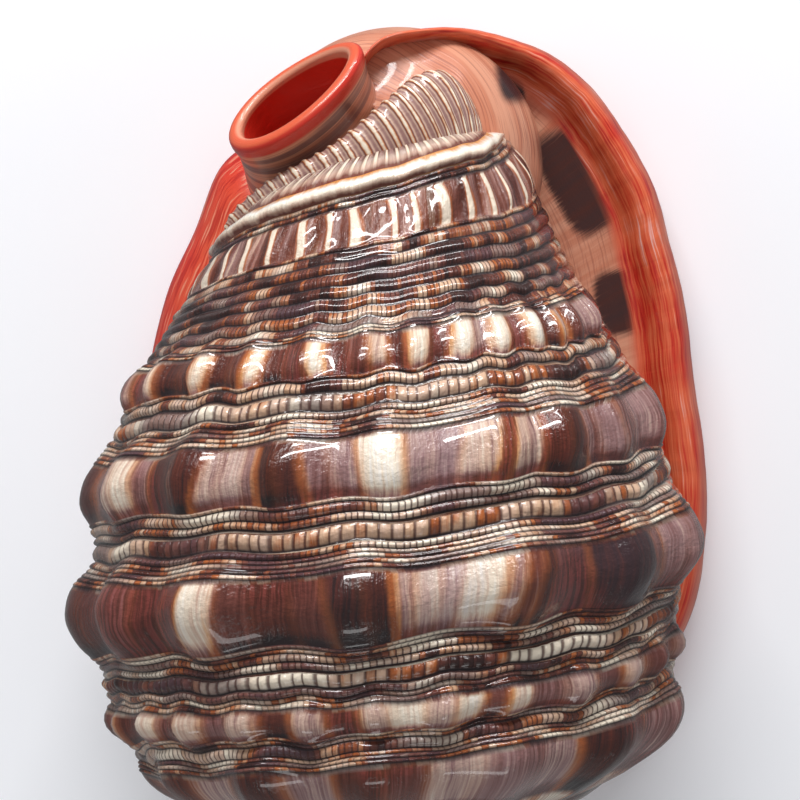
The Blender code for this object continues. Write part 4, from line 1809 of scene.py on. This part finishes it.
def lip_material() -> bpy.types.Material:
    """Streaked orange red rim with painted pink highlights, salmon channel with dark patches, pale
    underside.

    Returns:
        The finished material.
    """
    finish = Finish("orange_lip", SMOOTH_CALLUS)
    graph = finish.graph
    run, inward = graph.field("run"), graph.field("inward")
    rolled, under = graph.field("rolled"), graph.field("under")
    streaks, shade = add_striae(graph, graph.times(inward, 1.3), graph.times(run, 0.6))
    zones = graph.noise(graph.vector(graph.times(run, 0.07), graph.times(inward, 0.06)), 1.0, 2.0)
    tone = graph.plus(streaks, graph.scaled(shade, 0.4, -0.2))
    # The ramp runs through the rim's own reds and oranges. Its pink top is a painted highlight along the
    # streaks.
    rim = graph.ramp(
        graph.plus(tone, graph.scaled(zones, 0.7, -0.35)),
        (
            (0.2, Pigment.DEEP_RED),
            (0.34, Pigment.RED),
            (0.48, Pigment.ORANGE),
            (0.62, Pigment.CORAL),
            (0.82, Pigment.PINK_HIGHLIGHT),
        ),
    )
    lines, cloud = add_striae(graph, run, inward)
    channel = graph.mix(graph.step(cloud, 0.35, 0.65), Pigment.SALMON, Pigment.PALE_SALMON)
    channel = graph.mix(graph.step(streaks, 0.5, 0.62, 0.0, 0.45), channel, Pigment.LINE)
    channel = graph.mix(graph.step(inward, 10.0, 14.5, 0.7, 0.0), channel, Pigment.ORANGE)
    patch = graph.step(graph.plus(graph.field("patch"), graph.scaled(lines, 0.9, -0.45)), 0.1, 0.9)
    channel = graph.mix(patch, channel, graph.mix(cloud, Pigment.PATCH, Pigment.CHESTNUT))
    colour = graph.mix(rolled, channel, rim)
    below = graph.ramp(
        graph.step(inward, 6.0, 34.0),
        ((0.0, Pigment.ORANGE), (0.4, Pigment.SALMON), (1.0, Pigment.CREAM)),
    )
    colour = graph.mix(graph.step(under, 0.3, 0.8), colour, below)
    height = graph.plus(streaks, graph.times(lines, 0.5))
    return finish.close(colour, graph.bump(height, 0.18 * MM, 0.4))


def shield_material() -> bpy.types.Material:
    """Orange edge that pales to a polished salmon middle.

    Returns:
        The finished material.
    """
    finish = Finish("parietal_callus", SMOOTH_CALLUS)
    graph = finish.graph
    reach = graph.field("reach")
    where = graph.node("ShaderNodeTexCoord").outputs["Object"]
    cloud = graph.noise(where, 45.0, 4.0, 0.55)
    fine = graph.noise(where, 260.0, 3.0, 0.6)
    lines, _ = add_striae(graph, graph.times(reach, 46.0), graph.times(graph.field("turn"), 200.0))
    tone = graph.plus(reach, graph.scaled(cloud, 0.5, -0.25))
    colour = graph.ramp(
        tone,
        (
            (0.3, Pigment.PALE_SALMON),
            (0.6, Pigment.SALMON),
            (0.76, Pigment.ORANGE),
            (1.0, Pigment.RED),
        ),
    )
    outer_share = graph.step(reach, 0.6, 0.9)
    streak = graph.times(graph.step(lines, 0.5, 0.62, 0.0, 0.7), outer_share)
    gleam = graph.times(graph.step(lines, 0.44, 0.34, 0.0, 0.6), outer_share)
    colour = graph.mix(gleam, graph.mix(streak, colour, Pigment.DEEP_RED), Pigment.PALE_SALMON)
    height = graph.plus(lines, graph.times(fine, 0.4))
    return finish.close(colour, graph.bump(height, 0.3 * MM, 0.4))


def fold_material() -> bpy.types.Material:
    """Polished cream folds with an orange flush.

    Returns:
        The finished material.
    """
    finish = Finish("aperture_folds", SMOOTH_CALLUS)
    graph = finish.graph
    where = graph.node("ShaderNodeTexCoord").outputs["Object"]
    cloud = graph.noise(where, 120.0, 3.0)
    colour = graph.mix(graph.step(cloud, 0.4, 0.65), Pigment.CREAM, Pigment.PALE_SALMON)
    return finish.close(colour, graph.bump(graph.noise(where, 700.0), 0.2 * MM, 0.3))


@dataclass(frozen=True)
class SoftBox:
    """A large area light."""

    name: str
    place: tuple[float, float, float]
    size: tuple[float, float]
    power: float
    mirrored: bool


LIGHTS = (
    SoftBox("key", (-0.1, 0.95, 0.6), (0.8, 0.12), 11.0, True),
    SoftBox("low_key", (0.15, 1.05, 0.25), (0.6, 0.08), 4.4, True),
    SoftBox("top_fill", (-0.15, 0.25, 1.5), (1.2, 1.2), 4.0, False),
    SoftBox("left_fill", (-1.1, 0.1, 0.7), (0.9, 0.5), 1.8, False),
    SoftBox("right_fill", (1.1, -0.1, 0.7), (0.9, 0.5), 1.8, False),
    SoftBox("back_fill", (0.0, -1.1, 0.6), (0.7, 0.2), 1.5, True),
)
LIGHT_TARGET = Vector((0.0, 0.0, 0.05))
CAMERA_PLACE = (0.0, 19.24, 523.0)
CAMERA_TARGET = (0.0, 8.64, 43.0)
PIXEL_SIZE = 0.193
IMAGE_SIDE = 800
SENSOR = 36.0
FLOOR_SIDE = 4.0
FLOOR_TONES = (srgb(250, 251, 255), srgb(246, 248, 253))
SURROUNDINGS = (0.96, 0.98, 1.0, 1.0)
SURROUNDINGS_STRENGTH = 0.2


def aim(item: bpy.types.Object, target: Vector) -> None:
    """Turns a light or camera to a target with +Y up in its picture.

    Args:
        item: what is turned.
        target: the place that it looks at.
    """
    item.rotation_euler = (target - item.location).to_track_quat("-Z", "Y").to_euler()


def build_studio() -> None:
    """Pale floor, soft boxes, even surroundings and the camera over the back."""
    bpy.ops.mesh.primitive_plane_add(size=FLOOR_SIDE)
    floor = bpy.context.active_object
    floor.name = "floor"
    floor.visible_glossy = False
    finish = Finish("pale_floor", Gloss(roughness=0.7, coat=0.0))
    graph = finish.graph
    where = graph.node("ShaderNodeTexCoord").outputs["Object"]
    colour = graph.mix(graph.noise(where, 2.0), *FLOOR_TONES)
    grain = graph.bump(graph.noise(where, 900.0), 0.05 * MM, 0.1)
    floor.data.materials.append(finish.close(colour, grain))

    for box in LIGHTS:
        light = bpy.data.lights.new(box.name, "AREA")
        light.shape = "RECTANGLE"
        light.size, light.size_y = box.size
        light.energy = box.power
        item = bpy.data.objects.new(box.name, light)
        item.location = box.place
        item.visible_glossy = box.mirrored
        bpy.context.scene.collection.objects.link(item)
        aim(item, LIGHT_TARGET)

    world = bpy.data.worlds.new("studio")
    world.use_nodes = True
    background = world.node_tree.nodes["Background"]
    background.inputs["Color"].default_value = SURROUNDINGS
    background.inputs["Strength"].default_value = SURROUNDINGS_STRENGTH
    bpy.context.scene.world = world
    bpy.context.scene.view_settings.view_transform = "Standard"

    camera = bpy.data.cameras.new("camera")
    distance = CAMERA_PLACE[2] - CAMERA_TARGET[2]
    camera.sensor_width = SENSOR
    camera.lens = SENSOR * distance / (IMAGE_SIDE * PIXEL_SIZE)
    camera.clip_start = 0.01
    item = bpy.data.objects.new("camera", camera)
    item.location = Vector(CAMERA_PLACE) * MM
    bpy.context.scene.collection.objects.link(item)
    sight = (Vector(CAMERA_TARGET) - Vector(CAMERA_PLACE)).normalized()
    item.rotation_euler = (-math.atan2(-sight.y, -sight.z), 0.0, 0.0)
    bpy.context.scene.camera = item


def adopt(item: bpy.types.Object) -> None:
    """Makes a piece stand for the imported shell.

    Args:
        item: the finished mesh object.
    """
    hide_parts(NODE)
    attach(item, BODY)


def build_shell() -> None:
    """Builds every region of the shell."""
    skins: tuple[tuple[Callable[[], Skin], Callable[[], bpy.types.Material]], ...] = (
        (lambda: BodyWhorl().skin(), whorl_material),
        (fasciole_skin, fasciole_material),
        (neck_skin, neck_material),
        (canal_skin, canal_material),
        (lip_skin, lip_material),
        (shield_skin, shield_material),
    )
    for shape, finish in skins:
        item = shape().build()
        item.data.materials.append(finish())
        adopt(item)
    fold_finish = fold_material()
    for folds in FOLDS:
        adopt(FoldComb(folds).build(fold_finish))


def main() -> None:
    """Builds the shell and the studio around it."""
    build_shell()
    build_studio()


if __name__ == "__main__":
    main()
